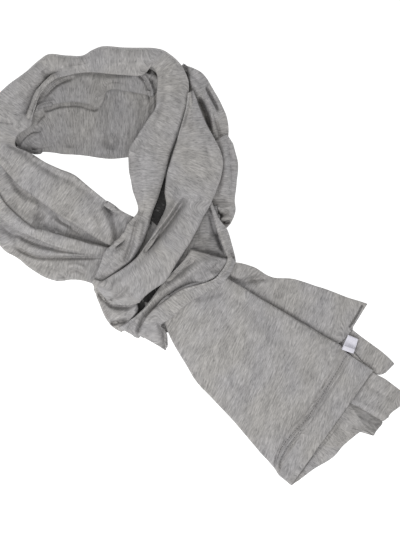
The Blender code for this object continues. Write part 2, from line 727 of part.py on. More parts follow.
def main():
    clear_scene()
    pile = Pile()
    hidden_layers(pile, "hidden_layers", RING_LAYERS, 34, 3, True)
    hidden_layers(pile, "tail_layers", TAIL_LAYERS, 7, 2, False)
    lay(pile, "tail_under", TAIL_UNDER, (), 7, 3, False)
    lay(pile, "tail_lower", TAIL_LOWER, (), 11, 4, False)
    lay(pile, "hem_flap", HEM_FLAP, (), 6, 4, False)
    lay(pile, "tail_back", TAIL_BACK, TAIL_BACK_FOLDS, 13, 5)
    lay(pile, "label", LABEL, (), 4, 4, False, LABEL_WHITE)
    front = (("tail_front", 0.9), ("hem_band", 1))
    stretch(pile, front, TAIL_FRONT, TAIL_FRONT_FOLDS, 20, 8)
    lay(pile, "inner_back", INNER_BACK, INNER_BACK_FOLDS, 14, 8)
    lay(pile, "inner_fold", INNER_FOLD, INNER_FOLD_FOLDS, 12, 3)
    lay(pile, "bunch_back", BUNCH_BACK, BUNCH_BACK_FOLDS, 11, 5)
    lay(pile, "bunch_side", BUNCH_SIDE, BUNCH_SIDE_FOLDS, 11, 5)
    lay(pile, "recess_wrap", RECESS_WRAP, (), 4, 3, False, SHADED)
    lay(pile, "side_strip", SIDE_STRIP, (), 8, 2)
    lay(pile, "lower_band", LOWER_BAND, LOWER_BAND_FOLDS, 16, 6)
    lay(pile, "middle_band", MIDDLE_BAND, MIDDLE_BAND_FOLDS, 15, 5)
    loop = BAND_FRONT + BAND_BACK + BAND_RIGHT
    ends = (("front_fold", 0.2), ("shoulder", 0.4), ("collar", 0.6), ("right_band", 1))
    stretch(pile, ends, loop, BAND_FOLDS, 60, 5)
    lay(pile, "bight_left", BIGHT_LEFT, BIGHT_LEFT_FOLDS, 8, 4)
    lay(pile, "bight_upper", BIGHT_UPPER, BIGHT_UPPER_FOLDS, 13, 5)
    lay(pile, "strand", STRAND, STRAND_FOLDS, 22, 7)
    lay(pile, "bight_rim", BIGHT_RIM, BIGHT_RIM_FOLDS, 15, 3)


main()
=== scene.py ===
"""Looks of a heather grey jersey scarf, doubled, tied with a pull-through knot and laid flat.

Every stretch of cloth that shows is a fine sheet of its own, lofted between its two edges from a
table of sections, with its folds and wrinkles added along curves. The stretches are laid one after
another on a height map of what lies under them. The laying plan is a grid of PLAN squares, counted
to the right and down, as seen from above, with its heights and fold sizes in millimetres.
Everything else is in metres.
"""

import math
from collections import namedtuple

import bpy
import numpy as np
from bpy.props import FloatProperty, FloatVectorProperty, IntProperty, PointerProperty
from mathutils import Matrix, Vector
from mathutils.bvhtree import BVHTree

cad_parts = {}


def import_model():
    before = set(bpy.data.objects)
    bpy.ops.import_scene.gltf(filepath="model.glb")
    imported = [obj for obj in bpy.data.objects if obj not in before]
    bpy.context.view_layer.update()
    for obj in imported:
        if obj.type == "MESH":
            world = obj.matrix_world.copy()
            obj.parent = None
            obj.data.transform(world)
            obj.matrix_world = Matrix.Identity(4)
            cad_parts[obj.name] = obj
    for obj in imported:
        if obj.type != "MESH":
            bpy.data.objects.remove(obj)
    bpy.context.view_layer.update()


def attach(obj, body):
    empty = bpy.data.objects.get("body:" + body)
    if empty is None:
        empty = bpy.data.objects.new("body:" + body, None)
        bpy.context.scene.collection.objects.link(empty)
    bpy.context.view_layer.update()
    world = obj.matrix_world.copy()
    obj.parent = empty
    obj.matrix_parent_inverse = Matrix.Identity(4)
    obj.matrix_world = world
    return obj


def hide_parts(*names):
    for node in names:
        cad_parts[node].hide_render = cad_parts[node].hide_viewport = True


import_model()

bl_info = {
    "name": "Knotted jersey scarf",
    "version": (1, 0, 0),
    "blender": (4, 5, 0),
    "location": "3D View > Sidebar > Scarf",
    "description": "Builds the cloth, sewing and finish of a knotted heather grey jersey scarf",
    "category": "Object",
}

# The laying plan: the size of a square, a millimetre, and where the part's own origin lies
PLAN = 0.0012
MM = 0.001
PLAN_MIDDLE_X = 190.35
PLAN_MIDDLE_Y = 266.4

# The view from above: its middle and height in plan squares, and the level it shows at true size
VIEW_X = 200
VIEW_Y = 266.5
VIEW_TALL = 533
VIEW_LEVEL = 0.02
SENSOR = 36

FLOOR_HALF = 4
KEY_PLACE = (-0.35, -0.55, 1.5)
KEY_SIZE = 1.0

# The height map of the pile, in plan squares
PILE_LEFT = -60
PILE_TOP = 20
PILE_WIDE = 500
PILE_HIGH = 500
PILE_SHARES = (0, 0.33, 0.67, 1)

# Points read between two rows of a table
SECTION_SAMPLES = 24
LINE_SAMPLES = 6
STITCH_SAMPLES = 30

WAVER_SQUARES = 1000  # plan squares to 1 of the edge waver
WAVER_WAVES = ((26, 1), (9, 0.45))  # plan squares to a wave, and its share
BROAD_WRINKLE = (0.052, 0.019)  # metres along and across the cloth
FINE_WRINKLE = (0.017, 0.009)
CLEAR = 0.0006  # air between a cloth and what it lies on
WALL_ROOM = 1.3  # walls of cloth from a stretch down to what it lies on
TUCK = 0.004  # how far an edge goes in under its roll
MOST_TUCK = 0.45  # share of the width
MOST_ROLL = 0.3  # share of the width
MOST_SINK = 0.008  # how far an edge over the pile comes down at most
SINK_BLUR = 4
TROUGH_ROOM = 0.0025  # how far cloth is lifted off the pile so that a trough can sink in
FOLD_TAPER = 0.2  # share of a fold's length over which each end fades
FOLD_REACH = 3  # widths from a fold's line to where it is no longer felt
HANG_BLUR = 12
MOST_HANG = 4  # times the drop of a plain roll

LAYER_SETBACK = 0.004
LAYER_INSET = 0.002
LAYER_ANGLES = (-80, -40, 0, 40, 80)
LAYER_TOP = (0.25, 0.75, 13)
LAYER_FILL = 0.97  # share of the height that the layers at the sides take up
LAYER_CROWN = 0.03
LEAST_LAYER = 0.0004
LAYER_WAVE = 14
LAYER_WAVE_HEIGHT = 0.5

# A stitch's length and the rise of its thread, in shares of the setting for each
STITCH_PITCH = 1.35
STITCH_RISE = (-0.3, 0.25, 0.6, 0.6, 0.25, -0.3)
STITCH_SIDES = 6
OVERLOCK_WIDE = 2.2
OVERLOCK_PITCH = 0.5
OVERLOCK_RISE = 0.3
OVERLOCK_SAMPLES = 4
OVERLOCK_SIDES = 5
THREAD_END = 0.55
LOOK_FROM = 0.5  # height from which stitches are dropped onto the cloth

# Relief in the finishes: its strength, and its height in metres
CLOTH_BUMP = 0.3
THREAD_BUMP = 0.6
KNIT_RELIEF = 0.0003
LABEL_RELIEF = 0.0001

Section = namedtuple("Section", "left_x left_y right_x right_y left_z right_z crown roll")
Fold = namedtuple("Fold", "height left_width right_width points")
Layer = namedtuple("Layer", "inner_x inner_y outer_x outer_y height")

# Rows of Layer: the hidden layers round the neck opening and under the knot
RING_LAYERS = (
    (100, 143, 100, 64, 18),
    (127, 144, 160, 70, 19),
    (134, 153, 203, 103, 20),
    (133, 170, 218, 160, 22),
    (136, 188, 217, 205, 24),
    (141, 206, 214, 248, 24),
    (144, 219, 212, 292, 25),
    (141, 222, 186, 310, 24),
    (139, 223, 167, 333, 18),
    (137, 224, 148, 328, 19),
    (131, 222, 130, 325, 17),
    (120, 217, 112, 304, 14),
    (107, 208, 94, 266, 11),
    (88, 194, 56, 262, 12),
    (66, 181, 16, 236, 13),
    (45, 171, -5, 200, 14),
    (30, 160, -7, 158, 14),
    (38, 146, 0, 116, 16),
    (64, 143, 44, 80, 18),
)
# Rows of Layer: the hidden layers inside the two tails
TAIL_LAYERS = (
    (179.8, 313.5, 217.8, 290.3, 18),
    (205, 362, 252, 314, 15),
    (226, 388, 280, 328, 12),
    (248, 412, 306, 342, 9.4),
    (268, 434, 328, 356, 7.4),
)

# Rows of Section, from the knot to the end of each piece of tail
TAIL_UNDER = (
    (316, 310, 306, 340, 1.8, 1.8, 0, 0),
    (338, 318, 330, 352, 1.8, 1.8, 0.6, 0),
    (356, 332, 350, 366, 1.8, 1.8, 1, 0),
    (374, 345.5, 366, 372, 1.8, 1.8, 1, 0),
    (388, 356, 380, 375, 1.8, 1.8, 0.5, 0),
    (395.5, 364, 386, 373, 1.8, 1.8, 0, 0),
)
TAIL_LOWER = (
    (366, 380, 330, 360, 1.8, 1.8, 0, 0),
    (380, 404, 326, 380, 1.8, 1.8, 0.8, 0),
    (382, 422, 318, 396, 1.8, 1.8, 1.2, 0),
    (376, 433, 308, 410, 1.8, 1.8, 1.2, 0),
    (373, 436.5, 304, 415, 1.8, 1.8, 1.2, 0),
    (367, 432.5, 298, 424, 1.8, 1.8, 1, 0),
    (360, 433, 292, 432, 1.8, 1.8, 1, 0),
    (344, 446, 282, 444, 1.8, 1.8, 1, 0),
    (333, 458.5, 278, 452, 1.8, 1.8, 0.8, 0),
    (313, 471, 277, 462, 1.8, 1.8, 0.4, 0),
    (293, 486, 279, 474, 1.8, 1.8, 0, 0),
)
HEM_FLAP = (
    (352, 350, 334, 372, 4, 4, 0, 0),
    (372, 371, 345, 398, 4, 7, 0.6, 0),
    (387, 380.5, 362, 408.5, 3, 9, 1, 0),
    (399, 389.5, 379, 418.5, 2.8, 9, 0.8, 0),
    (402, 391.5, 385, 421, 2.6, 8, 0.5, 0),
    (406, 395, 393, 412.5, 2.6, 5, 0.3, 0),
    (410, 399, 402, 406, 2.6, 2.6, 0, 0),
)
TAIL_BACK = (
    (222, 266, 214, 290, 24, 24, 2, 3),
    (236, 263, 230, 296, 17, 19, 3, 3.2),
    (255, 267, 247, 308, 12, 14, 3, 3),
    (272, 277, 262, 318, 9, 10, 2, 2.6),
    (294, 279, 284, 330, 8, 8, 1.2, 2.4),
    (320, 287, 308, 342, 7, 7, 1, 2.2),
    (344, 296, 330, 349, 7, 6.5, 0.8, 2),
    (357, 300, 342, 342, 6.4, 6, 0.6, 1.6),
    (365, 302.6, 349, 335, 6, 6, 0.4, 1.2),
    (368.3, 303.8, 351, 331, 6, 6, 0.2, 1),
)
TAIL_FRONT = (
    (164, 308, 206, 270, 34, 34, 1, 3.6),
    (166, 326, 222, 276, 22, 30, 5, 4.4),
    (174, 345, 236, 284, 14, 23, 7, 4.4),
    (191, 374, 257, 296, 11, 18, 5, 4),
    (211, 397, 279, 309, 9.5, 14, 3.5, 3.4),
    (234, 422, 302, 323, 8.5, 12, 2.5, 3),
    (258, 451, 326, 337, 8, 11, 1.8, 2.6),
    (274, 468, 341, 345, 7.5, 10, 1.2, 2.4),
    (279, 475, 348, 353, 7.5, 10, 1, 2.2),
    (285, 480, 361, 362, 7, 9, 0.8, 2),
    (291.5, 485.5, 374, 370.5, 6.5, 8, 0.6, 2),
)

# Rows of Section for the stretches behind and beside the knot, from the top down
BUNCH_BACK = (
    (174, 72, 183, 64.5, 33, 30, 2, 4),
    (180, 92, 200.5, 72, 34, 26, 4, 5),
    (190, 112, 211, 86, 33, 23, 5, 5.5),
    (198, 130, 220, 101, 32, 21, 5, 5.5),
    (206, 145, 226, 115, 31, 20, 4, 5),
    (212, 156, 228.5, 130, 30, 18, 3, 4),
    (216, 168, 228, 146, 28, 16, 1, 4),
)
BUNCH_SIDE = (
    (208, 146, 227, 134, 31, 22, 2, 4),
    (206, 156, 234, 146, 32, 20, 4, 5),
    (204, 168, 238.5, 164, 32, 19, 5, 5.5),
    (202, 183, 237, 183, 32, 19, 5, 5.5),
    (199, 200, 235, 200, 32, 20, 4, 5.5),
    (198, 214, 235.5, 212, 32, 20, 4, 5),
    (199, 226, 231, 224, 31, 18, 2, 4),
    (202, 236, 224, 231, 29, 18, 0, 4),
)
RECESS_WRAP = (
    (190, 208, 216, 206, 36, 30, 0, 0),
    (188, 226, 222, 224, 35, 29, -1, 0),
    (186, 244, 226, 244, 35, 28, -1, 0),
    (182, 262, 229, 263, 34, 28, 0, 0),
)
SIDE_STRIP = (
    (208.5, 203, 211.5, 202, 36, 34, 0, 2),
    (211, 209, 214.5, 210, 36, 33, 0.5, 2.2),
    (214, 220, 219.5, 220, 35, 30, 1, 2.4),
    (217.5, 232, 227.5, 230, 34, 25, 1, 3),
    (222, 245, 231.5, 243, 33, 23, 1.5, 3.2),
    (226.5, 256, 235, 256, 32, 22, 2, 3.2),
    (229, 266, 236, 264, 26, 18, 1, 2.8),
)

# Rows of Section round the neck loop, outer edge first
INNER_BACK = (
    (12, 134, 18.5, 149.5, 18, 18, 0.5, 2),
    (20, 126, 27, 152, 20, 18, 1, 2.6),
    (29, 114, 35, 153.8, 22, 18, 1, 3),
    (39, 103, 43, 152, 25, 17, 1.5, 3.2),
    (54, 92, 54, 153, 27, 14, 2.5, 3.4),
    (72, 84, 66, 154.5, 27, 12, 3, 3.6),
    (96, 82, 85, 156, 27, 11, 3, 3.8),
    (122, 80, 112, 158.5, 27, 11, 3, 3.8),
    (148, 82, 131, 157, 28, 13, 2, 3.6),
    (166, 94, 142, 156, 28, 20, 0, 3.4),
)
INNER_FOLD = (
    (38, 94, 36, 112, 31, 29, 0.5, 2.6),
    (49, 82, 50, 105.5, 33, 31, 1, 2.8),
    (64, 70, 64, 103, 34, 32, 1.5, 3),
    (80, 67, 78, 102.5, 34, 32, 2, 3),
    (94, 67, 90, 105, 34, 31, 2, 3),
    (101, 68, 98, 108.5, 34, 30, 1.5, 2.8),
    (106, 69, 103.5, 104, 34, 30, 1.5, 2.6),
    (111, 69, 106.5, 93, 34, 30, 1.5, 2.4),
    (118, 69, 114, 89.5, 34, 30, 1.5, 2.2),
    (131, 68, 127, 91.5, 35, 30, 1, 2),
    (147, 63, 142, 94, 36, 31, 1, 2),
    (162, 72, 154, 97, 37, 33, 0, 2),
)
BAND_FRONT = (
    (116, 248, 140, 226, 24, 25, 0, 2.4),
    (110, 245, 136, 219, 26, 28, 1, 2.8),
    (95, 237.5, 122, 211, 30, 32, 3, 4),
    (79, 228, 107, 201, 31, 33, 5, 5),
    (63, 218, 92, 189, 31, 33, 6, 5),
    (48, 207, 75, 175, 31, 33, 7, 5),
    (34, 197, 60, 169, 31, 33, 7, 5),
    (22, 188, 50, 164.8, 31, 33, 6, 5),
    (11, 177, 42, 160.5, 32, 34, 6, 5),
    (0, 165, 33, 155, 33, 36, 6, 5),
    (-12, 153, 24, 150.5, 33, 36, 5, 5),
    (-20, 140, 16.5, 147, 34, 36, 5, 5.5),
)
BAND_BACK = (
    (-21, 129, 16, 140.5, 34, 36, 5, 6),
    (-19, 120, 19.5, 133.5, 35, 36, 6, 6.5),
    (-15, 111, 27, 129.5, 35, 36, 6, 6.5),
    (-10, 103, 32, 124, 36, 37, 6, 7),
    (-2, 94, 33, 116, 37, 37, 6.5, 7),
    (6, 86.5, 36, 107, 38, 38, 7, 7.5),
    (25, 72, 41, 95, 39, 39, 7, 7.5),
    (40, 60, 48, 86, 40, 40, 6, 7),
    (50, 54.5, 57, 79, 41, 41, 5, 6.5),
    (68, 56, 67, 76.5, 42, 41, 5, 6),
    (82, 56, 80, 73.5, 42, 41, 5, 5.5),
    (93, 49.5, 92, 73.2, 42, 41, 6, 6),
    (104, 46, 104, 74.5, 42, 41, 7, 6.5),
    (122, 47.5, 120, 76, 42, 41, 7, 6.5),
    (142, 48, 138, 77, 43, 42, 6, 6.5),
    (155, 48.5, 146, 74, 43, 43, 6, 6),
    (166, 52, 152.5, 68, 44, 44, 5, 5),
    (177, 61, 158, 78, 45, 45, 6, 5.5),
)
BAND_RIGHT = (
    (185, 73, 157, 93, 46, 45, 6, 6.5),
    (189, 88, 156, 108, 46, 44, 7, 7),
    (185.5, 112, 148, 120, 46, 43, 8, 7),
    (178.6, 133, 136, 138, 46, 41, 8, 7),
    (171, 152, 129, 151, 46, 38, 8, 6.5),
    (166, 172, 129, 169, 46, 37, 7, 6),
    (160, 192, 133, 190, 45, 38, 6, 5.5),
    (152, 213, 138.5, 211, 45, 41, 3, 4),
    (149, 228, 128, 224, 48, 46, 3, 3.6),
    (142, 245, 121, 238, 49, 47, 3, 3.6),
    (132, 261, 106, 251, 48, 45, 3, 3.6),
    (119, 271, 100, 266, 46, 40, 2, 3.6),
    (106, 280, 95, 276, 40, 33, 1, 3.2),
    (99, 287, 92, 283, 33, 26, 0, 2.6),
)
WIDE_FOLD = (
    (-26, 146, -2, 142, 22, 22, 1, 2.6),
    (-24, 172, 6, 158, 22, 22, 2, 3),
    (-12, 190, 16, 172, 21, 22, 2.5, 3),
    (-3, 203, 24, 182, 20, 22, 3, 3),
    (6, 214, 34, 190, 20, 22, 3, 3),
    (16, 222, 44, 196, 19, 22, 3, 3),
    (28, 229.5, 56, 205, 18, 22, 3, 3),
    (39, 234, 66, 213, 17, 21, 3, 3),
    (50, 235, 76, 219, 17, 20, 2.5, 2.8),
    (61, 238.5, 88, 226, 17, 20, 2, 2.6),
    (77, 243, 100, 233, 17, 19, 1, 2.4),
    (94, 247, 110, 239, 17, 18, 0.5, 2),
    (110, 249, 118, 243, 17, 17, 0, 1.6),
)
MIDDLE_BAND = (
    (-26, 128, -14, 134, 25, 27, 1, 2.6),
    (-28, 150, -18, 150, 25, 28, 2, 3),
    (-22, 178, -14, 172, 25, 28, 3, 3),
    (-10, 202, -4, 189, 25, 29, 3, 3),
    (0, 216, 5.5, 203.5, 25, 29, 3, 3),
    (11, 224.5, 17, 215, 25, 29, 3, 3),
    (22, 231.5, 27, 223.5, 25, 28, 2.5, 2.8),
    (31, 236, 35.5, 228.4, 25, 28, 2, 2.6),
    (43, 241.5, 47, 230.2, 25, 28, 2, 2.6),
    (54, 245.8, 58.5, 234, 25, 28, 2, 2.6),
    (66, 249.4, 70, 238.2, 25, 28, 2, 2.6),
    (80, 252, 83, 242, 25, 27, 2, 2.4),
    (95, 254.3, 97, 245.2, 24, 26, 1.5, 2.2),
    (110, 256, 113, 248.2, 22, 24, 0, 2),
)
LOWER_BAND = (
    (-23, 122, -6, 130, 15, 17, 1, 3.6),
    (-28, 146, -4, 148, 13, 18, 2, 4.6),
    (-28, 176, 2, 166, 12, 18, 3, 5),
    (-18, 212, 10, 186, 12, 18, 3, 5),
    (0, 246, 20, 204, 12, 18, 4, 5),
    (17, 258.5, 34, 220, 12, 18, 4, 5),
    (37, 273, 51, 232, 12, 18, 4, 5),
    (56, 280.5, 68, 240, 12, 18, 4, 5),
    (72, 279, 84, 245, 13, 18, 3, 4.6),
    (84, 280.5, 98, 249, 13, 18, 2, 4),
    (94, 284, 108, 254, 13, 15, 1, 3),
    (101, 289, 112, 259, 13, 15, 0, 2.4),
)

# Rows of Section of the knot, upper left edge first
BIGHT_LEFT = (
    (93, 279, 106, 282, 20, 34, 2, 4),
    (95, 290, 114, 288, 20, 35, 3, 4.5),
    (100, 305, 124, 295, 20, 36, 3, 5),
    (106, 318, 136, 301, 19, 36, 3, 5),
    (112, 326, 138, 310, 18, 36, 3, 5),
    (118, 330.5, 131, 319, 17, 32, 2, 4),
    (122, 332.5, 127, 323, 16, 26, 0, 3),
)
BIGHT_UPPER = (
    (190, 249, 228, 259, 38, 32, 0, 2.6),
    (186, 256, 225.5, 265, 44, 36, 2, 3),
    (176, 268, 217, 276, 46, 36, 3, 3.4),
    (166, 279, 204, 283, 46, 35, 3, 3.4),
    (157, 291, 184, 289.5, 45, 35, 3, 3.4),
    (149.5, 301, 168, 300.5, 42, 33, 3, 3.2),
    (141, 311, 156, 313, 38, 29, 2.5, 3),
    (130, 320.5, 147, 327, 31, 24, 2.5, 3.4),
    (118.5, 327.5, 138.5, 338.5, 19, 17, 1, 3.6),
)
STRAND = (
    (187.5, 94, 193, 91, 46, 44, 0, 2.6),
    (185.5, 112, 203, 117, 48, 44, 3, 4.5),
    (179.5, 134, 214, 138, 48, 44, 5, 6),
    (172.5, 155, 222, 157, 47, 44, 8, 7),
    (167, 175, 222, 173, 43, 45, 11, 7.5),
    (164.5, 192, 216, 192, 36, 48, 15, 8),
    (166, 206, 208, 208, 34, 52, 14, 8),
    (160, 220, 200, 223, 38, 55, 12, 7),
    (152.5, 235, 194, 235, 46, 57, 9, 6),
    (144, 248, 188, 246, 52, 58, 7, 6),
    (133.5, 260, 178, 262, 55, 58, 6, 6),
    (118, 271.5, 166, 281, 56, 57, 6, 6),
    (106, 279.5, 150, 292.5, 52, 55, 6, 6),
    (98, 286, 141, 301, 46, 51, 5, 5.5),
    (103, 295, 140, 302.5, 45, 48, 3.5, 4.5),
    (108.4, 302, 136, 304, 43, 43, 2, 3.4),
    (112, 304.6, 130, 306, 42, 40, 0, 2.4),
)
BIGHT_RIM = (
    (228, 255, 236, 261, 34, 30, 1, 3),
    (225, 265, 230, 274, 40, 34, 2, 3.6),
    (214, 278, 219, 286, 46, 38, 3, 4.4),
    (199, 284, 205, 293.5, 49, 41, 3, 5),
    (182, 289, 187, 303.5, 50, 42, 4, 5.5),
    (166, 300, 171, 318, 48, 40, 4, 6),
    (153, 310, 161, 326, 44, 34, 4, 6),
    (144, 321, 167, 336, 36, 26, 4, 5.5),
    (138, 334, 166, 350, 24, 18, 3, 5),
)
LABEL = (
    (349, 335, 358.5, 339.5, 9.5, 8, 0.2, 0),
    (345.5, 342, 356.5, 346, 9.5, 8, 0.2, 0),
    (342, 349, 354, 353, 9.5, 8, 0.2, 0),
)
LABEL_TAB = (
    (344.4, 345.6, 355.6, 349.9, 10.5, 9, 0.2, 0),
    (343, 347.8, 354.6, 352, 10.5, 9, 0.4, 0),
    (341.8, 349.8, 353.8, 354, 10, 8.6, 0.2, 0),
)

# Rows of Fold: a height, the widths to its left and right, and the points it runs through
INNER_BACK_FOLDS = (
    (-18, 3, 2, ((16, 149), (19.5, 141), (25, 134.6), (33, 130), (42, 130.2))),
    (-14, 3, 3, ((44, 112), (39, 116), (35, 121), (31.5, 126))),
    (-12, 1.6, 3, ((42, 111.5), (56, 105), (76, 103), (89, 105.8), (99, 110))),
    (3, 4, 4, ((26, 144), (33, 138), (42, 135.5))),
    (-5, 2.4, 3, ((31, 149.5), (36, 150.6), (42, 151.6))),
    (-4, 8, 10, ((62, 112), (70, 128), (69, 149))),
    (-6, 9, 8, ((112, 92), (114, 122), (109, 151))),
    (2, 8, 8, ((96, 104), (100, 130), (97, 160))),
    (-1.2, 3, 3, ((76, 118), (79, 138), (78, 160))),
    (1.2, 5, 5, ((85, 112), (87, 132), (85, 160))),
    (-1.8, 4, 4, ((127, 98), (131, 125), (127, 162))),
    (-1, 2.5, 3, ((50, 116), (53, 138), (51, 158))),
    (-1.8, 4, 5, ((143, 96), (143, 120), (136, 154))),
    (-3, 1.8, 1.8, ((138, 74), (147, 85), (151, 104), (150, 116))),
    (-3, 1.8, 1.8, ((150, 78), (156, 90), (156, 110))),
)
INNER_FOLD_FOLDS = (
    (-1.6, 5, 6, ((80, 80), (92, 84), (106, 87), (126, 88))),
    (-4, 1.5, 2.4, ((43, 99), (51, 90), (60, 83), (76, 77))),
    (-6, 1.5, 1.5, ((38, 108), (46, 105.6), (54, 104))),
    (1.6, 4, 4, ((52, 98), (64, 93), (84, 92))),
    (-4.4, 1.8, 1.8, ((138, 74), (147, 85), (151, 104))),
    (2.4, 2, 2, ((143, 74), (151, 86), (153.5, 104))),
    (-4.4, 1.8, 1.8, ((150, 78), (156, 90), (157, 108))),
    (-10, 3, 3, ((147, 74), (153, 66), (160, 76))),
)
WIDE_FOLD_FOLDS = (
    (-8, 4, 4, ((34, 231), (40, 226.5), (46, 229), (56, 232.5))),
    (-5, 4, 5, ((43, 212), (39, 219), (36, 228))),
    (3, 5, 5, ((10, 190), (28, 203), (40, 208))),
    (3, 4, 4, ((50, 218), (60, 224), (72, 230))),
    (-8, 2, 8, ((56, 214), (72, 223), (90, 233.6), (108, 244))),
    (-4, 3, 5, ((56, 234), (76, 239), (98, 244))),
    (-1.6, 4, 4, ((-14, 168), (4, 188), (22, 204))),
)
MIDDLE_BAND_FOLDS = (
    (1.4, 3, 3, ((-2, 206), (14, 219), (34, 231), (60, 240))),
    (-1.2, 1.6, 2.4, ((30, 233), (52, 241), (90, 250))),
)
LOWER_BAND_FOLDS = (
    (-9, 2.4, 3.6, ((8, 228), (24, 237), (36, 241.5), (48, 244.5), (62, 248.6), (84, 252), (112, 256))),
    (-6, 1.6, 2.2, ((10, 244), (28, 254), (42, 257.4), (70, 257.6), (118, 257))),
    (2.2, 3, 3, ((24, 246), (42, 250.4), (62, 253.6), (92, 254.6))),
    (-5, 4, 6, ((-10, 214), (4, 227), (18, 238))),
    (-2.6, 2, 3, ((61, 280), (67.5, 273), (74, 269.4), (80, 271), (88, 275))),
    (2.4, 3, 3, ((66, 267), (76, 265), (86, 269))),
    (-1.4, 2.4, 2.4, ((30, 262), (52, 268), (62, 271))),
    (-1.2, 3, 3, ((-14, 196), (2, 222), (14, 238))),
)
LOOP_FOLDS = (
    (-9, 3.4, 8, ((66, 73), (54, 78), (43.5, 86), (37.5, 93), (34, 101), (29.5, 114), (24, 126))),
    (-6, 4, 4, ((44, 70), (47, 75), (50, 80))),
    (3.6, 2.8, 3, ((62, 79), (51, 85), (44.5, 91), (40.5, 98), (37, 108), (30, 124))),
    (-2, 1.8, 1.8, ((-12, 121), (2, 122), (16, 124))),
    (-1.8, 6, 5, ((86, 48), (83, 60), (84, 76))),
    (-1.2, 3, 4, ((99, 46), (95, 58), (97, 74))),
    (1.4, 5, 5, ((164, 50), (158, 60), (150, 74))),
    (-1, 3, 3, ((121, 46), (122, 62), (119, 77))),
    (-1, 6, 6, ((58, 68), (78, 63), (110, 60))),
    (0.9, 5, 5, ((100, 52), (126, 54), (150, 56))),
    (-1.4, 1.8, 2, ((137, 91), (141, 92), (147, 93.5))),
    (1.3, 10, 10, ((14, 146), (38, 174), (66, 198), (98, 222))),
    (-9, 7, 6, ((104, 202), (112, 213), (117, 229), (121, 252))),
    (-2.4, 5, 6, ((92, 200), (98, 216), (108, 236))),
    (-1.2, 4, 4, ((30, 140), (44, 164), (62, 180))),
    (-5, 2.2, 2.4, ((139, 216), (136, 226), (132.5, 240), (129, 252), (124, 266))),
    (2.4, 2.8, 2.8, ((143, 220), (141, 230), (137, 245), (130, 262))),
    (-1.4, 3, 3, ((120, 236), (114, 254), (104, 270))),
    (1.5, 12, 12, ((146, 150), (152, 176), (148, 206))),
    (-1.4, 4, 5, ((176, 92), (170, 118), (158, 146), (150, 176))),
    (-1, 3, 3, ((160, 104), (152, 128), (141, 152))),
    (-1.4, 2, 2, ((146, 196), (143, 210), (137, 224))),
)
STRAND_FOLDS = (
    (-12, 5, 2.4, ((187, 195), (177, 211), (166, 226.5), (153, 242), (143, 254))),
    (7, 2.6, 5, ((180, 198), (171.5, 211), (161.5, 225), (150, 241))),
    (-4, 1.6, 3.4, ((104, 302), (113, 298.5), (122, 292), (129, 284))),
    (2, 4, 4, ((104, 294), (112, 289), (122, 279))),
    (1.6, 3, 3, ((112, 301), (122, 299), (132, 294))),
    (2, 10, 12, ((176, 184), (196, 188), (218, 178))),
    (2.2, 9, 9, ((200, 108), (203, 146), (208, 186))),
    (-2.4, 5, 6, ((189, 104), (187, 140), (182, 176))),
    (-1.4, 4, 4, ((212, 140), (211, 166), (205, 194))),
    (2, 8, 8, ((190, 212), (168, 246), (138, 276))),
    (-1.6, 5, 5, ((178, 232), (160, 258), (130, 286))),
)
BUNCH_BACK_FOLDS = (
    (-9, 2.6, 4, ((181, 62), (186, 72), (189, 92))),
    (3.4, 4, 4, ((187, 78), (196, 86), (209, 93))),
    (-18, 2.4, 3, ((198, 97), (204, 108), (208, 120), (210, 136))),
    (3, 3, 3, ((202, 90), (210, 104), (216, 122))),
    (-7, 2, 2, ((205, 87), (211, 97), (219, 112))),
    (-4, 2, 2, ((213, 112), (217, 124), (221, 140))),
    (-1.6, 2.4, 2.4, ((191, 74), (196, 80), (200, 86))),
)
BUNCH_SIDE_FOLDS = (
    (-4, 2.4, 2.8, ((222, 130), (226, 138), (229, 146), (231, 160))),
    (-17, 2.4, 2.8, ((208, 205), (213.5, 210.6), (218, 214.6), (222, 218))),
    (-5, 2, 2.4, ((219, 215.5), (224, 213.6), (229, 211))),
    (4, 3, 3, ((216, 207), (223, 209), (232, 206))),
    (3, 2.4, 2.4, ((220, 219), (226, 218.6), (231, 216))),
    (-9, 1.6, 1.8, ((216, 224), (222, 222.6), (231, 221.6))),
    (3, 4, 4, ((224, 148), (226, 172), (224, 196))),
    (-3, 3, 3, ((217, 148), (219, 176), (216, 200))),
    (-2, 2.6, 2.6, ((230, 160), (233, 180), (231, 198))),
    (-3, 2, 3, ((208, 203), (216, 201), (230, 200))),
)
RECESS_FOLDS = (
    (-1.4, 3, 3, ((196, 214), (198, 232), (196, 252))),
    (1, 3, 3, ((206, 214), (209, 230), (208, 246))),
    (-8, 2, 3.4, ((209, 206), (213.5, 220), (218.5, 236), (226, 256))),
    (-5, 4, 3, ((192, 247), (204, 250), (226, 258))),
)
SIDE_STRIP_FOLDS = ((-1, 2, 2, ((220, 228), (226, 242), (231, 256))),)
BIGHT_UPPER_FOLDS = (
    (-6, 3, 6, ((197, 258), (188, 265), (177, 274), (163, 284))),
    (3, 4, 4, ((208, 258), (194, 271), (176, 284))),
    (-9, 3, 3.6, ((204, 282), (190, 286), (172, 295), (156, 307), (143, 322), (138, 338))),
    (-1.4, 2, 2, ((222, 258), (214, 268), (200, 276))),
    (2.4, 3, 3, ((172, 284), (157, 296), (143, 312))),
)
BIGHT_RIM_FOLDS = (
    (-7, 2.2, 3, ((160, 322), (163, 330), (165.5, 340), (167, 354))),
    (2, 7, 7, ((150, 316), (158, 332), (157, 354))),
    (-2, 3, 3, ((146, 330), (150, 340), (148, 350))),
    (-1, 2.4, 2.4, ((226, 268), (206, 285), (184, 296), (166, 310))),
)
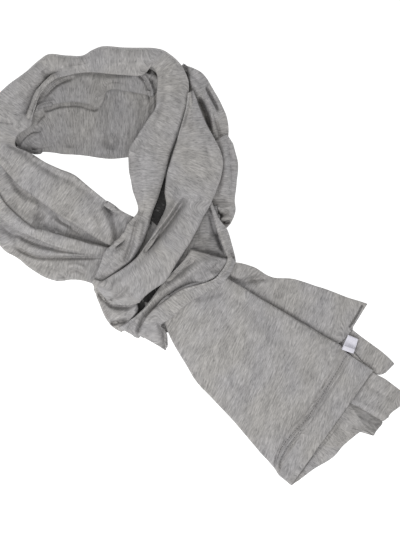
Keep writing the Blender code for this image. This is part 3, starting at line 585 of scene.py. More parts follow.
BIGHT_LEFT_FOLDS = (
    (-9, 3, 2.4, ((137, 303), (126, 306.4), (115, 306), (108, 302.4), (102, 295), (96, 286))),
    (-1.6, 3, 3, ((97, 288), (104, 306), (116, 324))),
    (2, 4, 4, ((104, 292), (112, 309), (124, 319))),
    (-9, 2, 2.4, ((110, 324), (116, 322.4), (122, 321.4), (128, 321))),
)
TAIL_BACK_FOLDS = (
    (-6, 3, 4, ((226, 276), (238, 281.4), (254, 279), (270, 277.4))),
    (-3, 9, 3, ((240, 288), (284, 313), (320, 334), (346, 349))),
    (-2, 5, 6, ((250, 276), (262, 286), (284, 297))),
    (-1, 4, 4, ((270, 290), (300, 304), (340, 318))),
    (0.9, 5, 5, ((262, 286), (296, 294), (340, 306))),
    (-1, 1, 1.2, ((369, 308), (361, 322), (352, 336))),
)
TAIL_FRONT_FOLDS = (
    (-3.6, 5, 6, ((194, 298), (204, 296), (214, 293), (224, 290))),
    (2, 10, 12, ((176, 318), (200, 336), (232, 346))),
    (-1.8, 12, 14, ((206, 330), (240, 372), (272, 410))),
    (1.6, 13, 13, ((236, 306), (276, 352), (310, 396))),
    (-1.3, 9, 9, ((246, 308), (292, 348), (326, 380))),
    (1.1, 9, 9, ((196, 352), (226, 392), (262, 432))),
    (-1.2, 6, 6, ((212, 300), (232, 326), (244, 352))),
    (0.9, 7, 7, ((250, 356), (262, 390), (282, 424))),
    (-5, 1.2, 1.2, (
        (350, 350), (346.6, 355.8), (331.4, 381.3), (313.9, 409.2), (306, 420.3),
        (294.8, 431.5), (286.8, 441), (280.5, 450.6), (275.7, 461.7), (276, 474),
    )),
    (5, 1.7, 1.7, (
        (353, 350), (349.4, 357.4), (334.2, 382.8), (316.6, 410.8), (308.6, 422.4),
        (297.2, 433.8), (289.2, 443), (283, 452), (278.2, 462.4), (278.6, 476),
    )),
    (-1.6, 1.2, 1.8, ((312, 424), (300, 436.4), (292, 445.4), (285.8, 454), (281, 464), (281.4, 478))),
    (-2, 5, 1.6, ((344, 352), (328.6, 379.4), (311, 407.4), (303, 418.4), (291.6, 429.6), (280, 446))),
)
HEM_FLAP_FOLDS = (
    (-1, 3, 3, ((352, 372), (372, 388), (398, 402))),
    (2.4, 4, 4, ((352, 400), (366, 407), (382, 416), (388, 417))),
    (-1, 1.6, 3, ((374, 370), (362, 388), (351, 405))),
)
TAIL_LOWER_FOLDS = (
    (-1.4, 3, 4, ((305, 466), (300, 476), (293, 487))),
    (-0.9, 4, 4, ((346, 404), (330, 430), (312, 454))),
    (-7, 2, 7, ((350, 404), (366, 412), (384, 421))),
    (-1.4, 1.6, 3, ((351, 405), (341, 422), (325, 443), (310, 460), (292, 484))),
    (1.4, 3, 3, ((376, 430), (360, 430), (342, 444), (312, 468), (295, 482))),
)

# Outlines of painted shade: the hollows beside the strand and under the knot, painted nearly black, and
# the corner under the flap's lower edge, painted with the flap's shadow
HOLLOWS = (
    ((160, 176), (173, 184), (171, 212), (163, 221), (154, 226), (145, 222), (142, 214), (149, 204)),
    ((172, 276), (150, 306), (136, 322), (124, 312), (142, 290), (156, 280)),
)
FLAP_SHADOW_CORNER = (
    (344, 396), (356, 406.5), (371, 413.5), (392, 420),
    (384, 430), (376, 434.5), (366, 428),
)

# Seams
HEM_LINES = (
    (
        (346.6, 355.8), (331.4, 381.3), (313.9, 409.2), (306, 420.3),
        (294.8, 431.5), (286.8, 441), (280.5, 450.6), (277.2, 461),
    ),
    ((301, 430), (293, 439.5), (285.3, 450.6), (280.6, 462), (280.4, 471)),
)
OVERLOCK_LINE = ((362.6, 305.6), (356, 317.6), (349.4, 328))
LABEL_SEAM = ((349, 336.2), (353.5, 338.3), (358, 340.4))


def catmull_rom(rows, samples, closed=False):
    """Points of a smooth curve through the rows, samples of them between each two rows."""
    rows = np.array(rows, float)
    count = len(rows)
    spans = count if closed else count - 1
    found = []
    for i in range(spans):
        if closed:
            a, b, c, d = (rows[(i + k) % count] for k in (-1, 0, 1, 2))
        else:
            a, b, c, d = (rows[min(max(i + k, 0), count - 1)] for k in (-1, 0, 1, 2))
        for u in np.arange(samples) / samples:
            cubic = (3 * b - a - 3 * c + d) * u**3 + (2 * a - 5 * b + 4 * c - d) * u**2
            found.append(b + 0.5 * ((c - a) * u + cubic))
    if not closed:
        found.append(rows[-1])
    return np.array(found)


def running_length(points):
    """The length along a line of points up to each of them."""
    return np.concatenate([[0], np.cumsum(np.linalg.norm(np.diff(points, axis=0), axis=1))])


def read_evenly(fine, count):
    """Rows read at even steps along the line midway between their two edges."""
    along = running_length((fine[:, 0:2] + fine[:, 2:4]) / 2)
    at = np.linspace(0, along[-1], count + 1)
    return np.stack([np.interp(at, along, fine[:, k]) for k in range(fine.shape[1])], axis=1)


def soft_noise(points, wavelength, seed):
    """Smooth values from -1 to 1 over 2-D points, the same at every run."""
    places = points / np.array(wavelength)
    base = np.floor(places)
    part = places - base
    ease = part * part * (3 - 2 * part)
    total = np.zeros(len(points))
    for i in (0, 1):
        for j in (0, 1):
            value = np.sin((base[:, 0] + i) * 12.9898 + (base[:, 1] + j) * 78.233 + seed * 37.719)
            value = value * 43758.5453
            value = 2 * (value - np.floor(value)) - 1
            weight = (ease[:, 0] if i else 1 - ease[:, 0]) * (ease[:, 1] if j else 1 - ease[:, 1])
            total += value * weight
    return total


def fold_heights(plan_points, folds):
    """How far the folds raise each plan point, in metres."""
    total = np.zeros(len(plan_points))
    for row in folds:
        fold = Fold(*row)
        curve = catmull_rom(fold.points, LINE_SAMPLES)
        spans = len(curve) - 1
        widest = FOLD_REACH * max(fold.left_width, fold.right_width) * MM / PLAN
        low, high = curve.min(axis=0) - widest, curve.max(axis=0) + widest
        near = np.flatnonzero(np.all((plan_points > low) & (plan_points < high), axis=1))
        spots = plan_points[near]
        best = np.full(len(spots), np.inf)
        side = np.zeros(len(spots))
        place = np.zeros(len(spots))
        for i in range(spans):
            step = curve[i + 1] - curve[i]
            away = spots - curve[i]
            on = np.clip(away @ step / max(step @ step, 1e-12), 0, 1)
            gap = np.linalg.norm(away - on[:, None] * step, axis=1)
            nearer = gap < best
            best[nearer] = gap[nearer]
            side[nearer] = (step[0] * away[:, 1] - step[1] * away[:, 0])[nearer]
            place[nearer] = ((i + on) / spans)[nearer]
        width = np.where(side > 0, fold.right_width, fold.left_width) * MM / PLAN
        taper = np.clip(np.minimum(place, 1 - place) / FOLD_TAPER, 0, 1)
        taper = taper * taper * (3 - 2 * taper)
        total[near] += fold.height * MM * np.exp(-((best / width) ** 2)) * taper
    return total


def neighbours(grid, combine):
    """Each cell combined with the eight cells round it."""
    padded = np.pad(grid, 1, mode="edge")
    high, wide = grid.shape
    around = [padded[i : i + high, j : j + wide] for i in range(3) for j in range(3)]
    return combine(np.stack(around), axis=0)


def blurred(grid, steps):
    """The values averaged with their neighbours so many times."""
    for _ in range(steps):
        grid = neighbours(grid, np.mean)
    return grid


def eased(grid, steps):
    """The values spread to their neighbours and blurred, nowhere less than they were."""
    for _ in range(steps):
        grid = neighbours(grid, np.max)
    return blurred(grid, steps)


def between(grid, p, q):
    """The values of a grid a share p of the way to the next row and q to the next column."""
    near = grid[:-1, :-1] * (1 - q) + grid[:-1, 1:] * q
    far = grid[1:, :-1] * (1 - q) + grid[1:, 1:] * q
    return near * (1 - p) + far * p


class Pile:
    """The height of what has been laid so far, over the laying plan."""

    def __init__(self):
        self.clear()

    def clear(self):
        self.top = np.zeros((PILE_HIGH, PILE_WIDE))
        self.soft = self.top

    def height(self, plan_points):
        """The height under each plan point, read between the cells."""
        line = np.clip(plan_points[:, 1] - PILE_TOP, 0, PILE_HIGH - 1.001)
        column = np.clip(plan_points[:, 0] - PILE_LEFT, 0, PILE_WIDE - 1.001)
        i, j = line.astype(int), column.astype(int)
        p, q = line - i, column - j
        upper = self.soft[i, j] * (1 - q) + self.soft[i, j + 1] * q
        lower = self.soft[i + 1, j] * (1 - q) + self.soft[i + 1, j + 1] * q
        return upper * (1 - p) + lower * p

    def add(self, plan, height):
        """Adds a grid of points, rows along and columns across, with their heights."""
        for p in PILE_SHARES:
            for q in PILE_SHARES:
                x, y, z = (between(g, p, q).ravel() for g in (plan[..., 0], plan[..., 1], height))
                i = np.clip(np.rint(y - PILE_TOP).astype(int), 0, PILE_HIGH - 1)
                j = np.clip(np.rint(x - PILE_LEFT).astype(int), 0, PILE_WIDE - 1)
                np.maximum.at(self.top, (i, j), z)
        self.soft = eased(self.top, 1)


PILE = Pile()


def world(plan, height):
    """Plan points and heights as points of the part's own frame, in metres."""
    x = (plan[..., 0] - PLAN_MIDDLE_X) * PLAN
    y = (PLAN_MIDDLE_Y - plan[..., 1]) * PLAN
    return np.stack([x, y, height], axis=-1)


def wavering(points, amount, seed):
    """The edge points moved a little in the plan, as a hand-laid fold is never quite smooth."""
    for wave, share in WAVER_WAVES:
        for k in (0, 1):
            moved = soft_noise(points.copy(), (wave, wave), seed + k + wave)
            points[:, k] = points[:, k] + amount * share * moved
    return points


def rim_columns(roll, width, step):
    """From under an edge up over its roll: each column's reach, drop and share of a fold."""
    steps = max(3, math.ceil(math.pi * roll.max() / step))
    angles = np.radians(np.linspace(-90, 90, steps + 1)[:-1])[None, :]
    tuck = np.minimum(roll + TUCK, width * MOST_TUCK)
    reach = np.hstack([tuck, (tuck + roll) / 2, roll * (1 - np.cos(angles))])
    drop = np.hstack([2 * roll, 2 * roll, roll * (1 - np.sin(angles))])
    kept = np.repeat((1 + np.sin(angles)) / 2, len(roll), axis=0)
    return reach, drop, np.hstack([np.zeros((len(roll), 2)), kept])


def rim_reach(left_roll, right_roll, width, step):
    """Where the columns lie across the cloth, how far each drops and how much of a fold it keeps."""
    near, near_drop, near_kept = rim_columns(left_roll, width, step)
    far, far_drop, far_kept = rim_columns(right_roll, width, step)
    open_width = width - left_roll - right_roll
    count = max(4, math.ceil(open_width.max() / step))
    flat = left_roll + open_width * np.linspace(0, 1, count + 1)[None, :]
    reach = np.hstack([near, flat, width - far[:, ::-1]])
    drop = np.hstack([near_drop, np.zeros_like(flat), far_drop[:, ::-1]])
    return reach, drop, np.hstack([near_kept, np.ones_like(flat), far_kept[:, ::-1]])


def flat_reach(width, step):
    """Columns straight from edge to edge, for a piece with no rolled edges."""
    count = max(4, math.ceil(width.max() / step))
    reach = width * np.linspace(0, 1, count + 1)[None, :]
    return reach, np.zeros_like(reach), np.ones_like(reach)


def hung_drop(drop, height, ground, roll, hang, thickness):
    """The drop of every column, more at the left edge where it is free to come down to the floor."""
    side = drop.shape[1] // 2
    rim = drop[:, :side]
    free = np.where(ground[:, :side] > 0, ground[:, :side] + CLEAR + thickness, hang * MM)
    level = blurred(np.where(rim > 0, free, 0).max(axis=1, keepdims=True), HANG_BLUR)
    share = np.clip((height[:, :side] - level) / np.maximum(2 * roll, 1e-6), 1, MOST_HANG)
    return np.hstack([rim * share, drop[:, side:]])


def wrinkles(run, reach, seed):
    """Soft uneven waves over the cloth, from -1 to 1."""
    places = np.stack([run.ravel(), reach.ravel()], axis=1)
    broad = soft_noise(places, BROAD_WRINKLE, seed)
    fine = soft_noise(places, FINE_WRINKLE, seed + 9)
    return (0.6 * broad + 0.4 * fine).reshape(run.shape)


def stretch(
    sections, folds, seed, rolled=True, wrinkle=1.0, rest=0.5, rims=(1, 1), lean=(0, 0), hang=0.0
):
    """A grid of cloth between two edges, folded, eased over the pile and added to it.

    rest is the share of the way that an edge comes down to the pile. rims scales the roll of the
    left and the right edge. lean is how many degrees the streaks lean towards the run of the cloth,
    at its start and its end. hang is how far above the floor a free left edge comes down, or 0
    where it just rolls under.

    Returns the points and the lengths along and across the cloth, all as grids.
    """
    settings = bpy.context.scene.scarf_cloth
    fine = catmull_rom(sections, SECTION_SAMPLES)
    length = running_length((fine[:, 0:2] + fine[:, 2:4]) / 2)[-1]
    along = math.ceil(length * PLAN / settings.mesh_step)
    rows = Section(*read_evenly(fine, along).T)
    waver = settings.edge_waver * WAVER_SQUARES
    left = wavering(np.stack([rows.left_x, rows.left_y], axis=1), waver, seed)
    right = wavering(np.stack([rows.right_x, rows.right_y], axis=1), waver, seed + 5)
    sizes = (rows.left_z, rows.right_z, rows.crown, rows.roll)
    left_z, right_z, crown, roll = (size[:, None] * MM for size in sizes)
    width = np.linalg.norm(right - left, axis=1, keepdims=True) * PLAN
    near, far = (np.minimum(roll, width * MOST_ROLL) * share * rolled for share in rims)
    if rolled:
        reach, drop, kept = rim_reach(near, far, width, settings.mesh_step)
    else:
        reach, drop, kept = flat_reach(width, settings.mesh_step)
    share = reach / width
    plan = left[:, None] + (right - left)[:, None] * share[..., None]
    on_top = np.clip(share, near / width, 1 - far / width)
    height = left_z + (right_z - left_z) * on_top + crown * (1 - (2 * on_top - 1) ** 2)
    run = (np.linspace(0, 1, along + 1) * length * PLAN)[:, None]
    run = np.repeat(run, reach.shape[1], axis=1)
    folded = settings.fold_strength * fold_heights(plan.reshape(-1, 2), folds).reshape(run.shape)
    folded += wrinkle * settings.wrinkle_depth * wrinkles(run, reach, seed)
    near_zone = np.clip(2 - reach / (near + TUCK), 0, 1)
    far_zone = np.clip(2 - (width - reach) / (far + TUCK), 0, 1)
    wall = WALL_ROOM * settings.thickness
    under = np.maximum(wall, np.maximum(2 * near * near_zone, 2 * far * far_zone)) + CLEAR
    ground = PILE.height(plan.reshape(-1, 2)).reshape(run.shape)
    clear = np.where(ground > 0, ground + under, wall)
    height = height + folded
    hover = np.where(ground > 0, np.clip(height - clear, 0, MOST_SINK), 0)
    height = height - blurred(hover * np.maximum(near_zone, far_zone) * rest, SINK_BLUR)
    trough = np.minimum(np.maximum(-folded, 0), TROUGH_ROOM)
    height = height + eased(np.maximum(clear - (height - folded) + trough, 0), settings.ease)
    height = np.maximum(height, clear)
    if hang:
        drop = hung_drop(drop, height, ground, near, hang, settings.thickness)
    height = height - drop - folded * (1 - kept)
    PILE.add(plan, height)
    points = world(plan, height)
    across = lengths_across(points)
    return points, yarn_lengths(left, right, run, across, lean), across


def lengths_across(points):
    """The length across each row of a grid of points, up to each of them."""
    steps = np.linalg.norm(np.diff(points, axis=1), axis=2)
    return np.hstack([np.zeros((len(points), 1)), np.cumsum(steps, axis=1)])


def yarn_lengths(left, right, run, across, lean):
    """Lengths along and across the cloth, square to each other, with the streaks leaning as asked."""
    middle = (left + right) / 2
    forward = np.gradient(middle, axis=0)
    forward /= np.linalg.norm(forward, axis=1, keepdims=True)
    sideways = (right - left) / np.linalg.norm(right - left, axis=1, keepdims=True)
    skew = np.sum(forward * sideways, axis=1, keepdims=True)
    square = np.sqrt(np.maximum(1 - skew**2, 0.05))
    offset = across - across[:, -1:] / 2
    slope = np.tan(np.radians(np.linspace(lean[0], lean[1], len(run))))[:, None]
    return np.stack([run + offset * (skew - square * slope), offset * square], axis=-1)


def grid_faces(points, closed_rows=False):
    """Quads between the neighbouring rows and columns of a grid of points."""
    rows, columns = points.shape[:2]
    faces = []
    for i in range(rows if closed_rows else rows - 1):
        for j in range(columns - 1):
            a, b = i * columns + j, ((i + 1) % rows) * columns + j
            faces.append((a, a + 1, b + 1, b))
    return faces


def facing_up(points, faces):
    """The faces, all turned round if those of the grid of points face down."""
    i, j = points.shape[0] // 2, points.shape[1] // 2
    up = np.cross(points[i, j + 1] - points[i, j], points[i + 1, j] - points[i, j])[2] > 0
    return faces if up else [face[::-1] for face in faces]


def new_piece(name, points, faces, lengths, finish):
    """A smooth mesh in the scarf's collection, riding on the part, with its cloth lengths as UV."""
    mesh = bpy.data.meshes.new(name)
    mesh.from_pydata([tuple(p) for p in points], [], faces)
    layer = mesh.uv_layers.new(name="cloth")
    corners = np.zeros(len(mesh.loops), np.int32)
    mesh.loops.foreach_get("vertex_index", corners)
    layer.data.foreach_set("uv", np.asarray(lengths, np.float32)[corners].ravel())
    mesh.materials.append(finish_material(finish))
    mesh.update()
    mesh.shade_smooth()
    made = bpy.data.objects.new(name, mesh)
    bpy.data.collections["Scarf"].objects.link(made)
    bpy.context.view_layer.update()
    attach(made, "root")
    return made


def cloth(name, sections, folds, finish="jersey", **shape):
    """One stretch of cloth with a wall, and the flat size it was folded from."""
    points, lengths, across = stretch(sections, folds, **shape)
    faces = facing_up(points, grid_faces(points))
    made = new_piece(name, points.reshape(-1, 3), faces, lengths.reshape(-1, 2), finish)
    wall = made.modifiers.new("wall", "SOLIDIFY")
    wall.thickness = bpy.context.scene.scarf_cloth.thickness
    wall.offset = -1
    wall.use_rim = True
    long = np.linalg.norm(np.diff(points, axis=0), axis=2).sum(axis=0)
    return made, (float(across[:, -1].mean()), float(long.mean()))


def panel(name, sections, folds, nodes, rests_on, held="folded", finish="jersey", **shape):
    """A stretch of cloth that stands for its solids."""
    made, flat = cloth(name, sections, folds, finish, **shape)
    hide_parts(*nodes)
    return made


def refinish(piece, outlines, kind):
    """Gives the finish to the faces whose middles lie inside one of the plan outlines."""
    piece.data.materials.append(finish_material(kind))
    middles = np.array([face.center[:2] for face in piece.data.polygons])
    inside = np.zeros(len(middles), bool)
    for outline in outlines:
        corners = world(np.array(outline, float), np.zeros(len(outline)))[:, :2]
        for (ax, ay), (bx, by) in zip(corners, np.roll(corners, 1, axis=0), strict=True):
            if ay == by:
                continue
            crossing = (ay > middles[:, 1]) != (by > middles[:, 1])
            inside ^= crossing & (middles[:, 0] < ax + (middles[:, 1] - ay) * (bx - ax) / (by - ay))
    piece.data.polygons.foreach_set("material_index", inside.astype(np.int32))


def layered_row(row, layers):
    """Points over one section of hidden layers, up the inner side and down the outer one."""
    inner = np.array([row.inner_x, row.inner_y])
    outer = np.array([row.outer_x, row.outer_y])
    width = np.linalg.norm(outer - inner) * PLAN
    tall = row.height * MM
    thick = tall * LAYER_FILL / layers
    angles = np.radians(LAYER_ANGLES)
    reach, rise = [LAYER_INSET], [0]
    for i in range(layers):
        reach += list(i * LAYER_SETBACK + thick / 4 * (1 - np.cos(angles)))
        rise += list((i + 0.5 + np.sin(angles) / 2) * thick)
    shares = np.linspace(*LAYER_TOP)
    reach = np.array(reach + list(shares * width) + [width - r for r in reversed(reach)])
    top = tall * (1 + LAYER_CROWN * np.sin(shares * math.pi))
    rise = np.array(rise + list(top) + rise[::-1])
    share = reach[:, None] / width
    return inner * (1 - share) + outer * share, rise


def layered(name, table, along, layers, closed, nodes, seed):
    """One rounded solid with a flat underside, its sides stepped as the folds of hidden layers."""
    rows = catmull_rom(table, SECTION_SAMPLES, closed)
    if closed:
        rows = np.vstack([rows, rows[:1]])
    rows = read_evenly(rows, along)
    if closed:
        rows = rows[:-1]
    plan, height = (np.array(made) for made in zip(*(layered_row(Layer(*row), layers) for row in rows)))
    count, columns = height.shape
    waves = soft_noise(plan.reshape(-1, 2), (LAYER_WAVE, LAYER_WAVE), seed).reshape(height.shape)
    waves = waves * LAYER_WAVE_HEIGHT * MM * height / height.max()
    height = np.where(height > 0, np.maximum(height + waves, LEAST_LAYER), 0)
    points = world(plan, height)
    faces = grid_faces(points, closed)
    for i in range(count if closed else count - 1):
        a, b = i * columns, ((i + 1) % count) * columns
        faces.append((a + columns - 1, a, b, b + columns - 1))
    if not closed:
        faces.append(tuple(reversed(range(columns))))
        faces.append(tuple((count - 1) * columns + j for j in range(columns)))
    across = lengths_across(points)
    steps = np.linalg.norm(np.diff(points, axis=0), axis=2).mean(axis=1)
    run = np.repeat(np.concatenate([[0], np.cumsum(steps)])[:, None], columns, axis=1)
    lengths = np.stack([run.ravel(), across.ravel()], axis=1)
    # The hidden layers take the shaded copy of the jersey, which is painted shade
    made = new_piece(name, points.reshape(-1, 3), facing_up(points, faces), lengths, "shaded")
    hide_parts(*nodes)
    if closed:
        plan = np.concatenate([plan, plan[:1]])
        height = np.concatenate([height, height[:1]])
    PILE.add(plan, height)
    return made


def surface_tree(objects):
    """A search tree over the finished shapes of the objects."""
    bpy.context.view_layer.update()
    graph = bpy.context.evaluated_depsgraph_get()
    points, faces = [], []
    for item in objects:
        mesh = item.evaluated_get(graph).to_mesh()
        first = len(points)
        points += [item.matrix_world @ vertex.co for vertex in mesh.vertices]
        faces += [[first + i for i in face.vertices] for face in mesh.polygons]
    return BVHTree.FromPolygons(points, faces)


def on_surface(tree, plan_points, lift):
    """The plan points as points on top of the cloth, raised by lift."""
    found = []
    for x, y, _ in world(np.array(plan_points, float), np.zeros(len(plan_points))):
        hit = tree.ray_cast((x, y, LOOK_FROM), (0, 0, -1))[0]
        if hit is None:
            raise RuntimeError("a stitch lies beside its cloth")
        found.append(hit + Vector((0, 0, lift)))
    return found


def points_at(curve, along, places):
    """The points of a curve at those lengths along it."""
    return np.stack([np.interp(places, along, curve[:, axis]) for axis in (0, 1)], axis=-1)


def tube(points, radius, sides, verts, faces, lengths):
    """Adds a thin round thread through the points to the lists."""
    first = len(verts)
    run = 0.0
    for i, point in enumerate(points):
        before, after = points[max(i - 1, 0)], points[min(i + 1, len(points) - 1)]
        along = (after - before).normalized()
        side = along.cross(Vector((0, 0, 1))).normalized()
        up = side.cross(along)
        size = radius * (THREAD_END if i in (0, len(points) - 1) else 1)
        if i:
            run += (point - points[i - 1]).length
        for k in range(sides):
            angle = 2 * math.pi * k / sides
            verts.append(point + side * math.cos(angle) * size + up * math.sin(angle) * size)
            lengths.append((run, radius * angle))
    for i in range(len(points) - 1):
        for k in range(sides):
            a, b = first + i * sides + k, first + i * sides + (k + 1) % sides
            faces.append((a, b, b + sides, a + sides))
    faces.append(tuple(reversed(range(first, first + sides))))
    last = first + (len(points) - 1) * sides
    faces.append(tuple(range(last, last + sides)))


def sewn_line(name, lines, under, settings, finish="thread"):
    """Rows of separate straight stitches lying on the cloth, as one piece."""
    tree = surface_tree(under)
    verts, faces, lengths = [], [], []
    pitch = settings.stitch_length * STITCH_PITCH
    for line in lines:
        curve = catmull_rom(line, STITCH_SAMPLES)
        along = running_length(curve) * PLAN
        for k in range(int(along[-1] / pitch)):
            places = np.linspace(k * pitch, k * pitch + settings.stitch_length, len(STITCH_RISE))
            path = on_surface(tree, points_at(curve, along, places), 0)
            for point, rise in zip(path, STITCH_RISE, strict=True):
                point.z += rise * settings.thread_width
            tube(path, settings.thread_width / 2, STITCH_SIDES, verts, faces, lengths)
    return new_piece(name, verts, faces, lengths, finish)


def overlocked_edge(name, line, under, settings):
    """A zigzag of thread over a cut edge, as one piece."""
    verts, faces, lengths = [], [], []
    curve = catmull_rom(line, STITCH_SAMPLES)
    along = running_length(curve) * PLAN
    pitch = settings.stitch_length * OVERLOCK_PITCH
    spots = []
    for k in range(int(along[-1] / pitch)):
        here, there = points_at(curve, along, (k * pitch, k * pitch + pitch / 2))
        step = (there - here) / np.linalg.norm(there - here)
        sideways = np.array([-step[1], step[0]]) * OVERLOCK_WIDE / 2
        spots += [here + sideways, there - sideways]
    spots = catmull_rom(spots, OVERLOCK_SAMPLES)
    path = on_surface(surface_tree(under), spots, OVERLOCK_RISE * settings.thread_width)
    tube(path, settings.thread_width / 2, OVERLOCK_SIDES, verts, faces, lengths)
    return new_piece(name, verts, faces, lengths, "thread")


def new_group(name, inputs, outputs):
    """An empty shader group with its named inputs and outputs, and the two ends inside it."""
    group = bpy.data.node_groups.new(name, "ShaderNodeTree")
    for label, kind, value in inputs:
        socket = group.interface.new_socket(label, in_out="INPUT", socket_type=kind)
        if value is not None:
            socket.default_value = value
    for label, kind in outputs:
        group.interface.new_socket(label, in_out="OUTPUT", socket_type=kind)
    return group, group.nodes.new("NodeGroupInput"), group.nodes.new("NodeGroupOutput")


def noise_at(tree, lengths, per_metre, detail=2.0, rough=0.5):
    """A noise read at the cloth lengths, with so many cells a metre along, across and upwards."""
    scaled = tree.nodes.new("ShaderNodeVectorMath")
    scaled.operation = "MULTIPLY"
    scaled.inputs[1].default_value = per_metre
    tree.links.new(lengths, scaled.inputs[0])
    made = tree.nodes.new("ShaderNodeTexNoise")
    made.inputs["Scale"].default_value = 1.0
    made.inputs["Detail"].default_value = detail
    made.inputs["Roughness"].default_value = rough
    tree.links.new(scaled.outputs[0], made.inputs["Vector"])
    return made.outputs[0]


def maths(tree, operation, first, second=0.0):
    """One Math node, whose inputs are sockets or numbers."""
    made = tree.nodes.new("ShaderNodeMath")
    made.operation = operation
    for socket, value in zip(made.inputs, (first, second)):
        if isinstance(value, (int, float)):
            socket.default_value = value
        else:
            tree.links.new(value, socket)
    return made.outputs[0]


def ranged(tree, value, low, high, to_low=0.0, to_high=1.0):
    """A value stretched from one range to another, and kept inside it."""
    made = tree.nodes.new("ShaderNodeMapRange")
    for label, number in zip(("From Min", "From Max", "To Min", "To Max"), (low, high, to_low, to_high)):
        made.inputs[label].default_value = number
    tree.links.new(value, made.inputs["Value"])
    return made.outputs[0]


def mixed(tree, share, first, second, blend="MIX"):
    """A colour mixed from two, each a socket or a colour."""
    made = tree.nodes.new("ShaderNodeMix")
    made.data_type = "RGBA"
    made.blend_type = blend
    for socket, value in ((made.inputs[0], share), (made.inputs[6], first), (made.inputs[7], second)):
        if isinstance(value, (int, float, tuple)):
            socket.default_value = value
        else:
            tree.links.new(value, socket)
    return made.outputs[2]


def heather_group():
    """Melange yarn: fine streaks of lighter and darker fibre across the cloth, with soft blotches."""
    inputs = (
        ("Lengths", "NodeSocketVector", None),
        ("Light fibre", "NodeSocketColor", (0.5, 0.5, 0.5, 1)),
        ("Dark fibre", "NodeSocketColor", (0.3, 0.3, 0.3, 1)),
        ("Streak depth", "NodeSocketFloat", 1.0),
    )
    outputs = (("Color", "NodeSocketColor"), ("Height", "NodeSocketFloat"))
    group, start, end = new_group("Heather yarn", inputs, outputs)
    lengths = start.outputs["Lengths"]
    broad = noise_at(group, lengths, (620, 85, 1), 2.5, 0.6)
    fine = noise_at(group, lengths, (1500, 240, 1), 2.0, 0.6)
    patch = noise_at(group, lengths, (60, 34, 1), 2.0)
    total = maths(group, "MULTIPLY", broad, 0.5)
    total = maths(group, "ADD", total, maths(group, "MULTIPLY", fine, 0.3))
    total = maths(group, "ADD", total, maths(group, "MULTIPLY", patch, 0.2))
    centred = maths(group, "SUBTRACT", total, 0.5)
    centred = maths(group, "MULTIPLY", centred, start.outputs["Streak depth"])
    share = ranged(group, centred, -0.12, 0.12)
    colour = mixed(group, share, start.outputs["Dark fibre"], start.outputs["Light fibre"])
    fleck = ranged(group, noise_at(group, lengths, (900, 150, 1), 1.0), 0.62, 0.72, 0.0, 0.45)
    colour = mixed(group, fleck, colour, (0.12, 0.12, 0.125, 1))
    pale = ranged(group, noise_at(group, lengths, (1100, 130, 3), 1.0), 0.64, 0.74, 0.0, 0.4)
    colour = mixed(group, pale, colour, (0.62, 0.61, 0.6, 1))
    warmth = ranged(group, noise_at(group, lengths, (18, 14, 2), 2.0), 0.38, 0.62)
    tint = mixed(group, warmth, (0.98, 0.975, 1.0, 1), (1.0, 0.985, 0.968, 1))
    colour = mixed(group, 1.0, colour, tint, "MULTIPLY")
    group.links.new(colour, end.inputs["Color"])
    group.links.new(fine, end.inputs["Height"])
    return group


def stitch_group():
    """Fine single jersey: rows of small V stitches running along the cloth."""
    inputs = (("Lengths", "NodeSocketVector", None), ("Rows per metre", "NodeSocketFloat", 900.0))
    group, start, end = new_group("Jersey stitches", inputs, (("Height", "NodeSocketFloat"),))
    parts = group.nodes.new("ShaderNodeSeparateXYZ")
    group.links.new(start.outputs["Lengths"], parts.inputs[0])
    rows = start.outputs["Rows per metre"]
    turn = maths(group, "MULTIPLY", maths(group, "MULTIPLY", parts.outputs[1], rows), math.pi)
    wale = maths(group, "ABSOLUTE", maths(group, "SINE", turn))
    course = maths(group, "MULTIPLY", maths(group, "MULTIPLY", parts.outputs[0], rows), 2 * math.pi)
    leaning = maths(group, "ADD", course, maths(group, "MULTIPLY", wale, 2.2))
    loop = maths(group, "MULTIPLY", maths(group, "SINE", leaning), 0.35)
    group.links.new(maths(group, "ADD", wale, loop), end.inputs["Height"])
    return group


def weave_group():
    """Satin label tape: close warp ribs crossed by a finer weft."""
    inputs = (
        ("Lengths", "NodeSocketVector", None),
        ("Tape colour", "NodeSocketColor", (0.8, 0.8, 0.85, 1)),
    )
    outputs = (("Color", "NodeSocketColor"), ("Height", "NodeSocketFloat"))
    group, start, end = new_group("Label weave", inputs, outputs)
    parts = group.nodes.new("ShaderNodeSeparateXYZ")
    group.links.new(start.outputs["Lengths"], parts.inputs[0])
    turns = [maths(group, "MULTIPLY", parts.outputs[i], rate) for i, rate in ((1, 6200), (0, 9400))]
    warp, weft = (maths(group, "ABSOLUTE", maths(group, "SINE", turn)) for turn in turns)
    height = maths(group, "ADD", warp, maths(group, "MULTIPLY", weft, 0.5))
    slub = ranged(group, noise_at(group, start.outputs["Lengths"], (240, 900, 1), 2.0), 0.3, 0.7)
    shade = mixed(group, slub, (0.88, 0.88, 0.9, 1), (1, 1, 1, 1))
    colour = mixed(group, 1.0, start.outputs["Tape colour"], shade, "MULTIPLY")
    group.links.new(colour, end.inputs["Color"])
    group.links.new(height, end.inputs["Height"])
    return group


def grouped(tree, name, make, lengths):
    """A node for the shared group of that name, made on its first use, reading the cloth lengths."""
    made = tree.nodes.new("ShaderNodeGroup")
    made.node_tree = bpy.data.node_groups.get(name) or make()
    tree.links.new(lengths, made.inputs["Lengths"])
    return made


def new_material(name):
    """An empty material with its tree, its shader and its cloth lengths."""
    made = bpy.data.materials.new(name)
    made.use_nodes = True
    lengths = made.node_tree.nodes.new("ShaderNodeUVMap")
    lengths.uv_map = "cloth"
    return made, made.node_tree, made.node_tree.nodes["Principled BSDF"], lengths.outputs[0]


